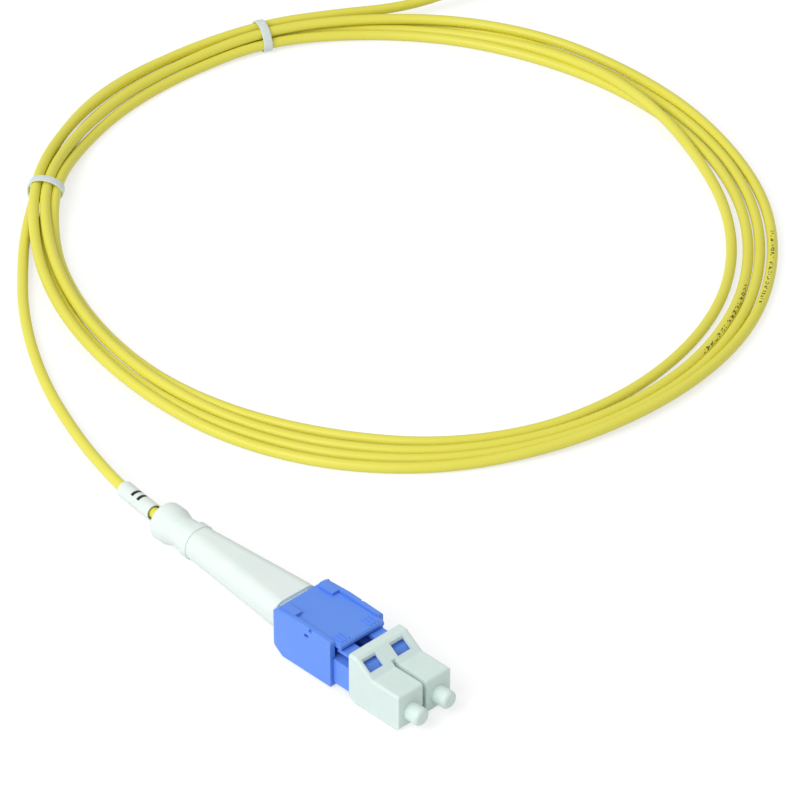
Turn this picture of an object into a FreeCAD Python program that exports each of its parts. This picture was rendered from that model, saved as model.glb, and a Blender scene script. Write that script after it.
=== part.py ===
"""Duplex fibre patch cord: a coiled round cable with a push-pull two-plug connector on each end.

Each connector is modelled once, in its own frame, and placed twice. Its frame is the cord's frame for
connector A: X along the plugs towards their tips, with X = 0 at the plug bodies' front faces, Y across the
pair of ferrules, Z up, and Z = 0 on the surface that the cord lies on. All sizes are in millimetres.
"""
import FreeCAD, Part
import math
import os

import Sketcher
from FreeCAD import Placement, Rotation, Vector

doc = FreeCAD.newDocument("PatchCord")

# Driving sizes: name, millimetres, meaning
SIZES = [
    ("pitch", 6.25, "distance between the two ferrule axes"),
    ("axis_z", 2.9, "height of the ferrule axes above the surface"),
    ("ferrule_dia", 1.25, "ferrule diameter"),
    ("ferrule_length", 6.4, "ferrule length"),
    ("ferrule_out", 2.2, "how far a ferrule stands out of its plug body"),
    ("ferrule_bevel", 0.2, "bevel round the ferrule's tip"),
    ("nose_width", 4.4, "plug body width"),
    ("nose_height", 4.2, "plug body height over the nose"),
    ("nose_length", 11.2, "length of the plug nose, which goes into an adapter"),
    ("nose_bevel", 0.35, "bevel round the nose's front edge"),
    ("shank_bottom", 1.1, "underside of the plug body behind the nose"),
    ("shank_top", 5.9, "top of the plug body behind the nose"),
    ("plug_length", 17.0, "whole plug body length"),
    ("socket_dia", 2.9, "bore round the ferrule at the plug's front"),
    ("socket_depth", 2.4, "depth of that bore"),
    ("web_thick", 0.7, "web that the ferrule's flange is pushed against"),
    ("web_hole", 1.6, "hole in that web"),
    ("chamber_dia", 2.8, "bore that holds flange and spring"),
    ("latch_width", 2.8, "width of the latch arm"),
    ("latch_thick", 0.65, "thickness of the latch arm"),
    ("latch_gap", 0.35, "gap under the latch arm's front stretch"),
    ("latch_root", 1.2, "length of the root that joins arm and nose"),
    ("latch_ramp_front", 6.2, "where the arm starts to rise, behind the nose's face"),
    ("latch_ramp_rear", 7.8, "where the arm stops rising"),
    ("latch_tail_top", 7.7, "top of the latch tail"),
    ("latch_tail_end", 14.6, "end of the latch tail, behind the nose's face"),
    ("lug_front", 3.9, "front of the latch's two side lugs"),
    ("lug_length", 1.1, "length of the side lugs"),
    ("lug_width", 4.2, "width over the side lugs"),
    ("flange_dia", 2.6, "collar of the ferrule's flange"),
    ("flange_thick", 1.25, "length of that collar"),
    ("flange_seat_gap", 0.05, "room between collar and web"),
    ("flange_tail_dia", 1.7, "tube behind the collar"),
    ("flange_tail_length", 3.0, "length of that tube"),
    ("flange_tail_bore", 1.1, "bore of that tube"),
    ("spring_mean_dia", 2.1, "spring, middle of the wire"),
    ("spring_wire", 0.25, "spring wire diameter"),
    ("spring_turns", 5, "number of spring turns"),
    ("spring_room", 5.0, "room for the spring between collar and rear stop"),
    ("stop_fit", 0.05, "radial clearance of the rear stop in the plug"),
    ("stop_collar_dia", 3.5, "collar of the rear stop behind the plug"),
    ("stop_collar_thick", 0.6, "thickness of that collar"),
    ("stop_bore", 1.2, "fibre bore of the rear stop"),
    ("fibre_dia", 0.9, "buffered fibre diameter"),
    ("fibre_tip", 5.6, "front end of the buffered fibre, behind the nose's face"),
    ("fibre_fork", 19.4, "where the fibres start to close up"),
    ("fibre_meet", 25.2, "where the fibres lie side by side"),
    ("fibre_spread", 1.0, "distance between the two fibres in the post"),
    ("cap_width", 11.7, "dust cap width over both plugs"),
    ("cap_length", 11.5, "dust cap length without its tips"),
    ("cap_wall", 0.6, "dust cap roof and floor thickness"),
    ("cap_front_wall", 0.75, "dust cap front wall"),
    ("cap_front_gap", 0.15, "room between plug and cap front"),
    ("cap_gap", 0.1, "room round the plug in the cap"),
    ("cap_box_top", 6.85, "top of the cap's low front"),
    ("cap_hood_top", 9.4, "top of the cap's tall rear"),
    ("cap_crease", 5.4, "foot of the slope, behind the nose's face"),
    ("cap_ridge", 9.0, "head of the slope, behind the nose's face"),
    ("cap_slope_shift", 0.2, "how far the inner slope stands behind the outer one"),
    ("cap_rear_cut", 1.6, "length of the cut at the cap's lower rear edge"),
    ("cap_rear_rise", 0.9, "height of that cut"),
    ("cap_front_bevel", 0.5, "bevel at the cap's lower front edge"),
    ("cap_round", 0.5, "rounding of the cap's upper edges"),
    ("cap_slot", 0.85, "slot between the two front boxes"),
    ("cap_slot_floor", 1.2, "floor of that slot"),
    ("cap_slot_rear", 6.4, "rear end of that slot, behind the nose's face"),
    ("window_width", 3.1, "window over each latch"),
    ("window_shift", 0.4, "how far both windows sit to the right of the latches"),
    ("window_rear", 8.5, "rear edge of the window, behind the nose's face"),
    ("window_front", 6.4, "front edge of the window"),
    ("tip_dia", 3.2, "round tip over each ferrule"),
    ("tip_length", 2.9, "length of that tip"),
    ("tip_round", 0.7, "rounding of its end"),
    ("tip_bore", 1.9, "bore of the tip"),
    ("tip_wall", 0.9, "end wall of the tip"),
    ("shell_width", 12.0, "connector housing width"),
    ("shell_front", 14.8, "front edge of the housing, behind the nose's face"),
    ("shell_rear", 28.9, "rear edge of the housing"),
    ("shell_bottom", 0.4, "underside of the housing"),
    ("shell_top_front", 9.2, "top of the side walls at the front"),
    ("shell_top_mid", 9.5, "highest point of the side walls"),
    ("shell_mid", 22.5, "place of that point"),
    ("shell_top_lip", 9.2, "top of the side walls where the rear slope starts"),
    ("shell_top_rear", 8.4, "top of the side walls at the rear edge"),
    ("shell_rear_slope", 1.4, "length of the slope at the upper rear edge"),
    ("shell_rear_cut", 2.7, "length of the cut at the lower rear edge"),
    ("shell_rear_rise", 1.9, "height of that cut"),
    ("shell_floor", 0.6, "floor thickness under the plugs"),
    ("shell_plug_gap", 0.1, "room round the plugs in the housing"),
    ("shell_bay_room", 0.25, "room behind the rear stops in the plug bay"),
    ("shell_channel", 9.9, "clear width between the rails"),
    ("shell_step", 6.05, "height where the plug bay meets the rails"),
    ("shell_boot_floor", 1.9, "floor of the rear channel, under the boot"),
    ("shell_round", 0.45, "rounding of the housing's outer edges"),
    ("shell_corner", 1.1, "rounding of the rear upright corners"),
    ("lip_reach", 1.5, "how far the rear lips reach over the plate"),
    ("lip_length", 3.4, "length of the rear lips"),
    ("lip_thick", 0.45, "thickness of the rear lips"),
    ("ledge_reach", 0.55, "how far the ledges reach under the plate"),
    ("ledge_thick", 0.7, "thickness of the ledges"),
    ("ledge_front", 15.5, "front end of the ledges"),
    ("ledge_rear", 24.4, "rear end of the ledges"),
    ("slot_place", 20.4, "middle of the small slot in each side wall"),
    ("slot_length", 0.9, "length of that slot"),
    ("slot_height", 0.6, "height of that slot"),
    ("notch_place", 19.5, "middle of the notch in each rail's outer top edge"),
    ("notch_length", 0.7, "length of that notch"),
    ("notch_depth", 0.4, "how far that notch is cut into the rail"),
    ("plate_top", 8.9, "top of the pull plate"),
    ("plate_thick", 0.8, "thickness of the pull plate"),
    ("plate_side_gap", 0.1, "room between plate and rails, lips and ledges"),
    ("plate_front", 13.4, "front edge of the pull plate"),
    ("plate_rear", 28.1, "rear edge of the pull plate"),
    ("plate_bevel", 0.3, "bevel along the plate's front edge"),
    ("rib_count", 3, "raised ribs on each front corner of the plate"),
    ("rib_width", 0.35, "width of a rib"),
    ("rib_height", 0.15, "height of a rib"),
    ("rib_length", 2.2, "length of a rib"),
    ("rib_step", 0.8, "distance from rib to rib"),
    ("hook_width", 3.0, "hook under the plate"),
    ("hook_length", 0.7, "length of the hook"),
    ("hook_drop", 0.55, "height of the hook"),
    ("hook_gap", 0.2, "room round the hook in the boot"),
    ("boot_z", 5.5, "height of the boot's axis at its front"),
    ("boot_front", 26.7, "front end of the boot, behind the nose's face"),
    ("tongue_width", 9.3, "width of the boot's tongue, which goes into the housing"),
    ("tongue_low", 2.2, "underside of that tongue"),
    ("tongue_top", 8.0, "top of that tongue"),
    ("tongue_end", 29.3, "rear end of that tongue"),
    ("boot_width", 9.6, "boot width behind the tongue"),
    ("boot_low", 2.8, "underside of the boot behind the tongue"),
    ("boot_top", 8.6, "top of the boot behind the tongue"),
    ("boot_corner", 2.3, "corner radius of both sections"),
    ("boot_taper_start", 30.4, "where the boot starts to taper"),
    ("boot_neck", 56.6, "where the boot is thinnest"),
    ("boot_neck_dia", 5.6, "boot diameter at its neck"),
    ("boot_end", 62.5, "rear end of the boot"),
    ("boot_grip_dia", 6.9, "flared grip at the boot's rear"),
    ("boot_grip_length", 3.1, "length of the flared grip"),
    ("boot_flare_length", 1.8, "length of the flare between neck and grip"),
    ("boot_grip_round", 1.1, "rounding of the grip"),
    ("boot_ring", 53.9, "middle of the small ring in front of the neck"),
    ("boot_ring_length", 1.5, "length of that ring"),
    ("boot_ring_rise", 0.3, "height of that ring"),
    ("corner_flat", 0.1, "half of the flat left between two full corner roundings"),
    ("boot_pivot", 34.0, "place about which the boot leans, behind the nose's face"),
    ("boot_bore", 2.7, "cable bore of the boot"),
    ("boot_mouth", 4.2, "cable bore at the boot's rear end, where it flares"),
    ("boot_mouth_length", 6.0, "length of that flare"),
    ("boot_chamber_end", 42.0, "rear end of the boot's wide bore"),
    ("boot_chamber_gap", 0.3, "room round the crimp sleeve in the boot"),
    ("post_front", 25.0, "front face of the back post's plate"),
    ("post_plate", 1.2, "thickness of the back post's plate"),
    ("post_plate_seat", 0.4, "how far the plate reaches into each side groove"),
    ("post_plate_top", 7.4, "top of that plate"),
    ("post_fit", 0.05, "room round that plate in its grooves"),
    ("post_dia", 3.0, "outside diameter of the back post's tube"),
    ("post_bore", 2.4, "bore of the back post"),
    ("post_end", 36.0, "rear end of the back post's tube"),
    ("crimp_front", 29.6, "front end of the crimp sleeve"),
    ("crimp_wall", 0.35, "wall of the crimp sleeve"),
    ("crimp_fit", 0.05, "clearance under the crimp sleeve"),
    ("crimp_neck", 36.6, "where the crimp sleeve narrows"),
    ("crimp_end", 39.6, "rear end of the crimp sleeve"),
    ("cable_dia", 2.0, "cable jacket diameter"),
    ("jacket_gap", 0.2, "room between the jacket's end and the post"),
    ("marker_dia", 3.1, "marker sleeve outside diameter"),
    ("marker_bore", 2.5, "marker sleeve bore"),
    ("marker_length", 10.4, "marker sleeve length"),
    ("marker_place", 9.9, "middle of the marker sleeve, along the lead from the corner in the boot's mouth"),
    ("coil_x", -104.5, "middle of the coil along X"),
    ("coil_y", 96.4, "middle of the coil along Y"),
    ("coil_radius", 68.3, "mean radius of the coil, at the middle of its turns"),
    ("coil_oval", 3.7, "how much longer and shorter the oval coil's two half axes are"),
    ("coil_width", 10.0, "width of the bundle of turns"),
    ("coil_height", 4.2, "height of the bundle of turns"),
    ("coil_bevel", 1.2, "bevel of the bundle's edges"),
    ("waist_width", 6.0, "bundle width under a tie"),
    ("waist_bottom", 0.6, "underside of the bundle under a tie"),
    ("waist_top", 4.1, "top of the bundle under a tie"),
    ("tie_gap", 0.1, "room between bundle and tie"),
    ("tie_thick", 0.4, "tie thickness"),
    ("tie_width", 1.6, "tie width"),
    ("tie_tail", 3.2, "length of the tie's free end"),
    ("tie_tail_thick", 0.8, "thickness of the twisted free end"),
    ("end_b_x", -150.0, "connector B's place along X"),
    ("end_b_y", 241.0, "connector B's place along Y"),
]

COIL_TILT_DEG = -28.3
TIE_ANGLES_DEG = {"tie_left": 216.6, "tie_top": 157.0}
END_B_TURN_DEG = 90.0
# the boot leans a little to the left and upwards, as the cable pulls it
BOOT_YAW_DEG = -1.1
BOOT_PITCH_DEG = 0.8

# Routes of the two free leads, from the boot to the coil, as offsets in the connector's own frame
LEAD_A_POINTS = [
    (-46.5, 0.0, 5.5), (-60.5, 0.5, 5.87), (-80.0, 4.8, 3.6), (-95.0, 9.8, 1.5), (-113.0, 17.3, 1.05),
    (-130.5, 28.0, 1.05), (-144.0, 40.3, 1.05),
]
LEAD_B_POINTS = [
    (-46.5, 0.0, 5.5), (-60.5, 0.5, 5.87), (-80.0, 4.6, 3.6), (-91.0, 8.8, 1.8), (-101.0, 15.0, 1.05),
]


# share of the shorter neighbouring run that a route's corner arc takes up
ARC_SHARE = 0.45


class Size:
    """A length that keeps the text of how it is worked out from the sheet, next to its value."""

    def __init__(self, value, text):
        self.value = float(value)
        self.text = text

    def __add__(self, other):
        return joined(self, "+", other)

    def __sub__(self, other):
        return joined(self, "-", other)

    def __mul__(self, other):
        return joined(self, "*", other)

    def __truediv__(self, other):
        return joined(self, "/", other)

    def __neg__(self):
        return Size(-self.value, f"-({self.text})")


def plain(number):
    """A bare number as a Size."""
    return number if isinstance(number, Size) else Size(number, repr(float(number)))


def joined(left, sign, right):
    """Two Sizes joined by an arithmetic sign, in value and in text."""
    left, right = plain(left), plain(right)
    value = {
        "+": left.value + right.value,
        "-": left.value - right.value,
        "*": left.value * right.value,
        "/": left.value / right.value if sign == "/" else 0.0,
    }[sign]
    return Size(value, f"({left.text} {sign} {right.text})")


def fill_sheet():
    """Write the driving sizes into the sheet and return them by name."""
    sheet = doc.addObject("Spreadsheet::Sheet", "Sizes")
    for row, (name, value, meaning) in enumerate(SIZES, start=1):
        sheet.set(f"A{row}", meaning)
        sheet.set(f"B{row}", str(value))
        sheet.setAlias(f"B{row}", name)
    doc.recompute()
    return {name: Size(sheet.get(name), f"Sizes.{name}") for name, value, meaning in SIZES}


class Names:
    """Gives each driving size as an attribute."""

    def __init__(self, sizes):
        self.__dict__.update(sizes)


s = Names(fill_sheet())
ZERO = plain(0)
SPARE = plain(1)  # how far a cut runs past a face


def new_body(label, place):
    body = doc.addObject("PartDesign::Body", label)
    body.Label = label
    body.Placement = place
    return body


def bind(thing, name, size):
    thing.setExpression(name, plain(size).text)


def new_sketch(body, plane, offset):
    """An empty sketch on one of the body's origin planes, moved along that plane's normal."""
    sketch = body.newObject("Sketcher::SketchObject", "Sketch")
    support = [f for f in body.Origin.OriginFeatures if f.Role == plane][0]
    sketch.AttachmentSupport = (support, [""])
    sketch.MapMode = "FlatFace"
    bind(sketch, "AttachmentOffset.Base.z", offset)
    return sketch


def hold(sketch, geometry, point, x, y):
    """Hold a sketch point at two driven coordinates."""
    for kind, size in (("DistanceX", x), ("DistanceY", y)):
        size = plain(size)
        index = sketch.addConstraint(Sketcher.Constraint(kind, -1, 1, geometry, point, size.value))
        bind(sketch, f"Constraints[{index}]", size)


def add_polygon(sketch, points):
    """A closed outline whose corners are each held by two driven coordinates."""
    corners = [Vector(plain(x).value, plain(y).value, 0) for x, y in points]
    first = sketch.GeometryCount
    count = len(points)
    for i in range(count):
        sketch.addGeometry(Part.LineSegment(corners[i], corners[(i + 1) % count]), False)
    for i in range(count):
        sketch.addConstraint(Sketcher.Constraint("Coincident", first + i, 2, first + (i + 1) % count, 1))
    for i, (x, y) in enumerate(points):
        hold(sketch, first + i, 1, x, y)


def add_rectangle(sketch, left, right, low, high):
    add_polygon(sketch, [(left, low), (right, low), (right, high), (left, high)])


def add_circle(sketch, x, y, diameter):
    index = sketch.addGeometry(Part.Circle(Vector(plain(x).value, plain(y).value, 0), Vector(0, 0, 1),
                                           plain(diameter).value / 2), False)
    hold(sketch, index, 3, x, y)
    held = sketch.addConstraint(Sketcher.Constraint("Diameter", index, plain(diameter).value))
    bind(sketch, f"Constraints[{held}]", diameter)


def add_rounded_rectangle(sketch, x, y, width, height, radius):
    """Four lines and four arcs about (x, y): the lines end where the held arc centres say."""
    x, y, width, height, radius = (plain(v) for v in (x, y, width, height, radius))
    dx, dy = width / 2 - radius, height / 2 - radius
    centres = [(x + dx, y + dy), (x - dx, y + dy), (x - dx, y - dy), (x + dx, y - dy)]
    first = sketch.GeometryCount
    for quarter, (cx, cy) in enumerate(centres):
        circle = Part.Circle(Vector(cx.value, cy.value, 0), Vector(0, 0, 1), radius.value)
        start = quarter * math.pi / 2
        sketch.addGeometry(Part.ArcOfCircle(circle, start, start + math.pi / 2), False)
    for quarter in range(4):
        arc, after = sketch.Geometry[first + quarter], sketch.Geometry[first + (quarter + 1) % 4]
        sketch.addGeometry(Part.LineSegment(arc.EndPoint, after.StartPoint), False)
    for quarter, (cx, cy) in enumerate(centres):
        arc, line, after = first + quarter, first + 4 + quarter, first + (quarter + 1) % 4
        hold(sketch, arc, 3, cx, cy)
        sketch.addConstraint(Sketcher.Constraint("Tangent", arc, 2, line, 1))
        sketch.addConstraint(Sketcher.Constraint("Tangent", line, 2, after, 1))
    held = sketch.addConstraint(Sketcher.Constraint("Radius", first, radius.value))
    bind(sketch, f"Constraints[{held}]", radius)


def through(body, kind, sketch, length):
    """Pad or Pocket of that whole length, half to each side of the sketch."""
    feature = body.newObject(f"PartDesign::{kind}", kind)
    feature.Profile = sketch
    feature.SideType = "Symmetric"
    bind(feature, "Length", length)
    doc.recompute()
    return feature


def side_block(body, kind, points, y, width):
    """A side view in X and Z, carried across Y about y. The XZ plane's normal is -Y."""
    sketch = new_sketch(body, "XZ_Plane", -plain(y))
    add_polygon(sketch, points)
    return through(body, kind, sketch, width)


def end_block(body, kind, rear, front, draw):
    """An end view in Y and Z, drawn by draw(sketch), carried along X from rear to front."""
    rear, front = plain(rear), plain(front)
    sketch = new_sketch(body, "YZ_Plane", (rear + front) / 2)
    draw(sketch)
    return through(body, kind, sketch, front - rear)


def top_block(body, kind, low, high, draw):
    """A top view in X and Y, drawn by draw(sketch), carried along Z from low to high."""
    low, high = plain(low), plain(high)
    sketch = new_sketch(body, "XY_Plane", (low + high) / 2)
    draw(sketch)
    return through(body, kind, sketch, high - low)


def round_bar(body, kind, rear, front, y, z, diameter):
    return end_block(body, kind, rear, front, lambda sketch: add_circle(sketch, y, z, diameter))


def square_bar(body, kind, rear, front, left, right, low, high):
    return end_block(body, kind, rear, front, lambda sketch: add_rectangle(sketch, left, right, low, high))


def dress(body, kind, size, pick):
    """Fillet or Chamfer on the edges of the body's last feature that pick accepts."""
    base = body.Tip
    names = [f"Edge{i}" for i, edge in enumerate(base.Shape.Edges, start=1) if pick(edge)]
    feature = body.newObject(f"PartDesign::{kind}", kind)
    feature.Base = (base, names)
    bind(feature, "Radius" if kind == "Fillet" else "Size", size)
    doc.recompute()
    return feature


def near(value, size):
    return abs(value - plain(size).value) < 1e-4


def ends(edge):
    return [edge.Vertexes[0].Point, edge.Vertexes[-1].Point]


def sides(sign, size):
    """A coordinate on the left (+1) or right (-1) side of the connector's middle plane."""
    return size if sign > 0 else -size


def make_dust_cap(label, place):
    """One moulded cap over both plugs: low front boxes, tall hood, latch windows and round tips."""
    body = new_body(label, place)
    front = s.cap_front_gap + s.cap_front_wall
    rear = front - s.cap_length
    side_block(body, "Pad", [
        (rear, s.cap_rear_rise), (rear + s.cap_rear_cut, ZERO), (front - s.cap_front_bevel, ZERO),
        (front, s.cap_front_bevel), (front, s.cap_box_top), (-s.cap_crease, s.cap_box_top),
        (-s.cap_ridge, s.cap_hood_top), (rear, s.cap_hood_top),
    ], ZERO, s.cap_width)
    flank = s.cap_width / 2
    dress(body, "Fillet", s.cap_round, lambda edge: all(
        near(abs(p.y), flank) and p.z > s.axis_z.value for p in ends(edge)) and not all(
        near(p.x, rear) for p in ends(edge)))
    tip_end = front + s.tip_length
    for sign in (1, -1):
        round_bar(body, "Pad", front, tip_end, sides(sign, s.pitch / 2), s.axis_z, s.tip_dia)
    dress(body, "Fillet", s.tip_round, lambda edge: near(edge.BoundBox.XMin, tip_end))
    inside = s.cap_box_top - s.cap_wall
    for sign in (1, -1):
        y = sides(sign, s.pitch / 2)
        side_block(body, "Pocket", [
            (rear - SPARE, s.cap_wall), (s.cap_front_gap, s.cap_wall), (s.cap_front_gap, inside),
            (-s.cap_crease - s.cap_slope_shift, inside),
            (-s.cap_ridge - s.cap_slope_shift, s.cap_hood_top - s.cap_wall),
            (rear - SPARE, s.cap_hood_top - s.cap_wall),
        ], y, s.nose_width + s.cap_gap * 2)
        round_bar(body, "Pocket", ZERO, tip_end - s.tip_wall, y, s.axis_z, s.tip_bore)
        window_left = y - s.window_shift + s.window_width / 2
        top_block(body, "Pocket", s.cap_box_top, s.cap_hood_top + SPARE, lambda sketch: add_rectangle(
            sketch, -s.window_rear, -s.window_front, window_left - s.window_width, window_left))
    square_bar(body, "Pocket", -s.cap_slot_rear, front + SPARE, -s.cap_slot / 2, s.cap_slot / 2,
               s.cap_slot_floor, s.cap_hood_top + SPARE)
    return body


def make_plug_frame(label, place, sign):
    """Plug body with its latch moulded on: square nose, deeper shank and a stepped round bore."""
    body = new_body(label, place)
    y = sides(sign, s.pitch / 2)
    left, right = y - s.nose_width / 2, y + s.nose_width / 2
    nose_top = s.axis_z + s.nose_height / 2
    square_bar(body, "Pad", -s.nose_length, ZERO, left, right, s.axis_z - s.nose_height / 2, nose_top)
    dress(body, "Chamfer", s.nose_bevel, lambda edge: near(edge.BoundBox.XMin, ZERO))
    square_bar(body, "Pad", -s.plug_length, -s.nose_length, left, right, s.shank_bottom, s.shank_top)
    under = nose_top + s.latch_gap
    top = under + s.latch_thick
    root_front = s.nose_bevel
    root_rear = root_front + s.latch_root
    tail_under = s.latch_tail_top - s.latch_thick
    side_block(body, "Pad", [
        (-root_front, nose_top - s.latch_gap), (-root_front, top - s.nose_bevel),
        (-root_front - s.nose_bevel, top), (-s.latch_ramp_front, top),
        (-s.latch_ramp_rear, s.latch_tail_top), (-s.latch_tail_end, s.latch_tail_top),
        (-s.latch_tail_end, tail_under), (-s.latch_ramp_rear, tail_under), (-s.latch_ramp_front, under),
        (-root_rear, under), (-root_rear, nose_top - s.latch_gap),
    ], y, s.latch_width)
    side_block(body, "Pad", [
        (-s.lug_front - s.lug_length, under), (-s.lug_front, under),
        (-s.lug_front - s.nose_bevel, top), (-s.lug_front - s.lug_length, top),
    ], y, s.lug_width)
    web_front = -s.socket_depth
    web_rear = web_front - s.web_thick
    round_bar(body, "Pocket", web_front, SPARE, y, s.axis_z, s.socket_dia)
    round_bar(body, "Pocket", web_rear - SPARE, web_front + SPARE, y, s.axis_z, s.web_hole)
    round_bar(body, "Pocket", -s.plug_length - SPARE, web_rear, y, s.axis_z, s.chamber_dia)
    return body


def flange_front():
    return -s.socket_depth - s.web_thick - s.flange_seat_gap


def stop_front():
    return flange_front() - s.flange_thick - s.spring_room


def make_ferrule(label, place, sign):
    """Ceramic ferrule with a bevelled tip."""
    body = new_body(label, place)
    y = sides(sign, s.pitch / 2)
    round_bar(body, "Pad", s.ferrule_out - s.ferrule_length, s.ferrule_out, y, s.axis_z, s.ferrule_dia)
    dress(body, "Chamfer", s.ferrule_bevel, lambda edge: near(edge.BoundBox.XMin, s.ferrule_out))
    return body


def make_flange(label, place, sign):
    """Metal flange that the ferrule is pressed into, with a tube for the fibre behind it."""
    body = new_body(label, place)
    y = sides(sign, s.pitch / 2)
    front = flange_front()
    back = front - s.flange_thick
    tail = back - s.flange_tail_length
    round_bar(body, "Pad", back, front, y, s.axis_z, s.flange_dia)
    round_bar(body, "Pad", tail, back, y, s.axis_z, s.flange_tail_dia)
    socket_end = s.ferrule_out - s.ferrule_length
    round_bar(body, "Pocket", socket_end, front + SPARE, y, s.axis_z, s.ferrule_dia)
    round_bar(body, "Pocket", tail - SPARE, socket_end, y, s.axis_z, s.flange_tail_bore)
    return body


def make_spring(label, place, sign):
    """Compression spring behind the flange: six-sided wire in half turns tilted to and fro, end to end."""
    wire = s.spring_wire.value
    radius = s.spring_mean_dia.value / 2
    turns = int(s.spring_turns.value)
    rise = (s.spring_room.value - wire - 2 * s.flange_seat_gap.value) / (2 * turns)
    tilted = math.hypot(radius, rise / 2)
    edges = []
    for i in range(2 * turns):
        side = 1 if i % 2 == 0 else -1
        edges.append(Part.Arc(Vector(side * radius, 0, i * rise), Vector(0, side * tilted, (i + 0.5) * rise),
                              Vector(-side * radius, 0, (i + 1) * rise)).toShape())
    corners = [math.radians(60 * i + 30) for i in range(7)]
    section = Part.makePolygon([
        Vector(radius + wire / 2 * math.cos(turn), 0, wire / 2 * math.sin(turn)) for turn in corners])
    feature = doc.addObject("Part::Feature", label)
    feature.Label = label
    feature.Shape = Part.Wire(edges).makePipeShell([section], True, False)
    start = stop_front().value + wire / 2 + s.flange_seat_gap.value
    seat = Placement(Vector(start, sides(sign, s.pitch / 2).value, s.axis_z.value),
                     Rotation(Vector(0, 1, 0), 90))
    feature.Placement = place.multiply(seat)
    return feature


def make_rear_stop(label, place, sign):
    """Turned tube that closes the plug's bore behind the spring and guides the fibre."""
    body = new_body(label, place)
    y = sides(sign, s.pitch / 2)
    collar_front = -s.plug_length - s.stop_fit
    collar_rear = collar_front - s.stop_collar_thick
    round_bar(body, "Pad", collar_front, stop_front(), y, s.axis_z, s.chamber_dia - s.stop_fit * 2)
    round_bar(body, "Pad", collar_rear, collar_front, y, s.axis_z, s.stop_collar_dia)
    round_bar(body, "Pocket", collar_rear - SPARE, stop_front() + SPARE, y, s.axis_z, s.stop_bore)
    return body


def make_housing(label, place):
    """U-shaped shell: a bay for the two plugs, rails for the pull plate and a rear channel for the boot."""
    body = new_body(label, place)
    rear, front = -s.shell_rear, -s.shell_front
    flank = s.shell_width / 2
    side_block(body, "Pad", [
        (front, s.shell_bottom), (front, s.shell_top_front), (-s.shell_mid, s.shell_top_mid),
        (rear + s.shell_rear_slope, s.shell_top_lip), (rear, s.shell_top_rear),
        (rear, s.shell_bottom + s.shell_rear_rise), (rear + s.shell_rear_cut, s.shell_bottom),
    ], ZERO, s.shell_width)
    dress(body, "Fillet", s.shell_corner, lambda edge: all(
        near(abs(p.y), flank) and near(p.x, rear) for p in ends(edge)))
    dress(body, "Fillet", s.shell_round, lambda edge: all(
        near(abs(p.y), flank) and p.z > s.shell_step.value for p in ends(edge)) and edge.Length > 1)
    inner = s.shell_channel / 2
    bay = s.pitch / 2 + s.nose_width / 2 + s.shell_plug_gap
    bay_floor = s.shell_bottom + s.shell_floor
    bay_rear = -s.plug_length - s.stop_fit - s.stop_collar_thick - s.shell_bay_room
    square_bar(body, "Pocket", rear - SPARE, bay_rear, -inner, inner,
               s.shell_boot_floor, s.shell_top_mid + SPARE)
    square_bar(body, "Pocket", bay_rear - SPARE, front + SPARE, -inner, inner,
               s.shell_step - s.shell_plug_gap, s.shell_top_mid + SPARE)
    square_bar(body, "Pocket", bay_rear, front + SPARE, -bay, bay, bay_floor, s.shell_step)
    groove = inner + s.post_plate_seat + s.post_fit
    square_bar(body, "Pocket", -s.post_front - s.post_plate - s.post_fit, -s.post_front + s.post_fit,
               -groove, groove, s.shell_boot_floor - s.post_fit, s.post_plate_top + s.post_fit)
    plate_under = s.plate_top - s.plate_thick
    slot_rear, slot_front = -s.slot_place - s.slot_length / 2, -s.slot_place + s.slot_length / 2
    slot_low = plate_under - s.slot_height
    side_block(body, "Pocket", [
        (slot_rear, slot_low), (slot_front, slot_low), (slot_front, plate_under), (slot_rear, plate_under),
    ], ZERO, s.shell_width + SPARE)
    lip_low = s.plate_top + s.plate_side_gap
    ledge_top = plate_under - s.plate_side_gap
    lip_rear = rear + s.shell_rear_slope
    for sign in (1, -1):
        edges = sorted((sides(sign, flank - s.notch_depth), sides(sign, flank + SPARE)),
                       key=lambda size: size.value)
        square_bar(body, "Pocket", -s.notch_place - s.notch_length / 2, -s.notch_place + s.notch_length / 2,
                   edges[0], edges[1], s.plate_top, s.shell_top_mid + SPARE)
        edges = sorted((sides(sign, inner - s.lip_reach), sides(sign, inner + s.plate_side_gap)),
                       key=lambda size: size.value)
        square_bar(body, "Pad", lip_rear, lip_rear + s.lip_length, edges[0], edges[1],
                   lip_low, lip_low + s.lip_thick)
        edges = sorted((sides(sign, inner - s.ledge_reach), sides(sign, inner + s.plate_side_gap)),
                       key=lambda size: size.value)
        square_bar(body, "Pad", -s.ledge_rear, -s.ledge_front, edges[0], edges[1],
                   ledge_top - s.ledge_thick, ledge_top)
    return body


def make_top_plate(label, place):
    """Pull plate that slides between the rails, with grip ribs in front and a hook into the boot."""
    body = new_body(label, place)
    half = s.shell_channel / 2 - s.plate_side_gap
    low = s.plate_top - s.plate_thick
    square_bar(body, "Pad", -s.plate_rear, -s.plate_front, -half, half, low, s.plate_top)
    dress(body, "Chamfer", s.plate_bevel, lambda edge: all(
        near(p.x, -s.plate_front) and near(p.z, s.plate_top) for p in ends(edge)))
    hook_rear = -s.plate_rear
    square_bar(body, "Pad", hook_rear, hook_rear + s.hook_length, -s.hook_width / 2, s.hook_width / 2,
               low - s.hook_drop, low)
    rib_front = -s.plate_front - s.plate_bevel * 2
    for sign in (1, -1):
        for i in range(int(s.rib_count.value)):
            middle = sides(sign, half - s.rib_step * (i + 1))
            square_bar(body, "Pad", rib_front - s.rib_length, rib_front, middle - s.rib_width / 2,
                       middle + s.rib_width / 2, s.plate_top, s.plate_top + s.rib_height)
    return body


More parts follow.
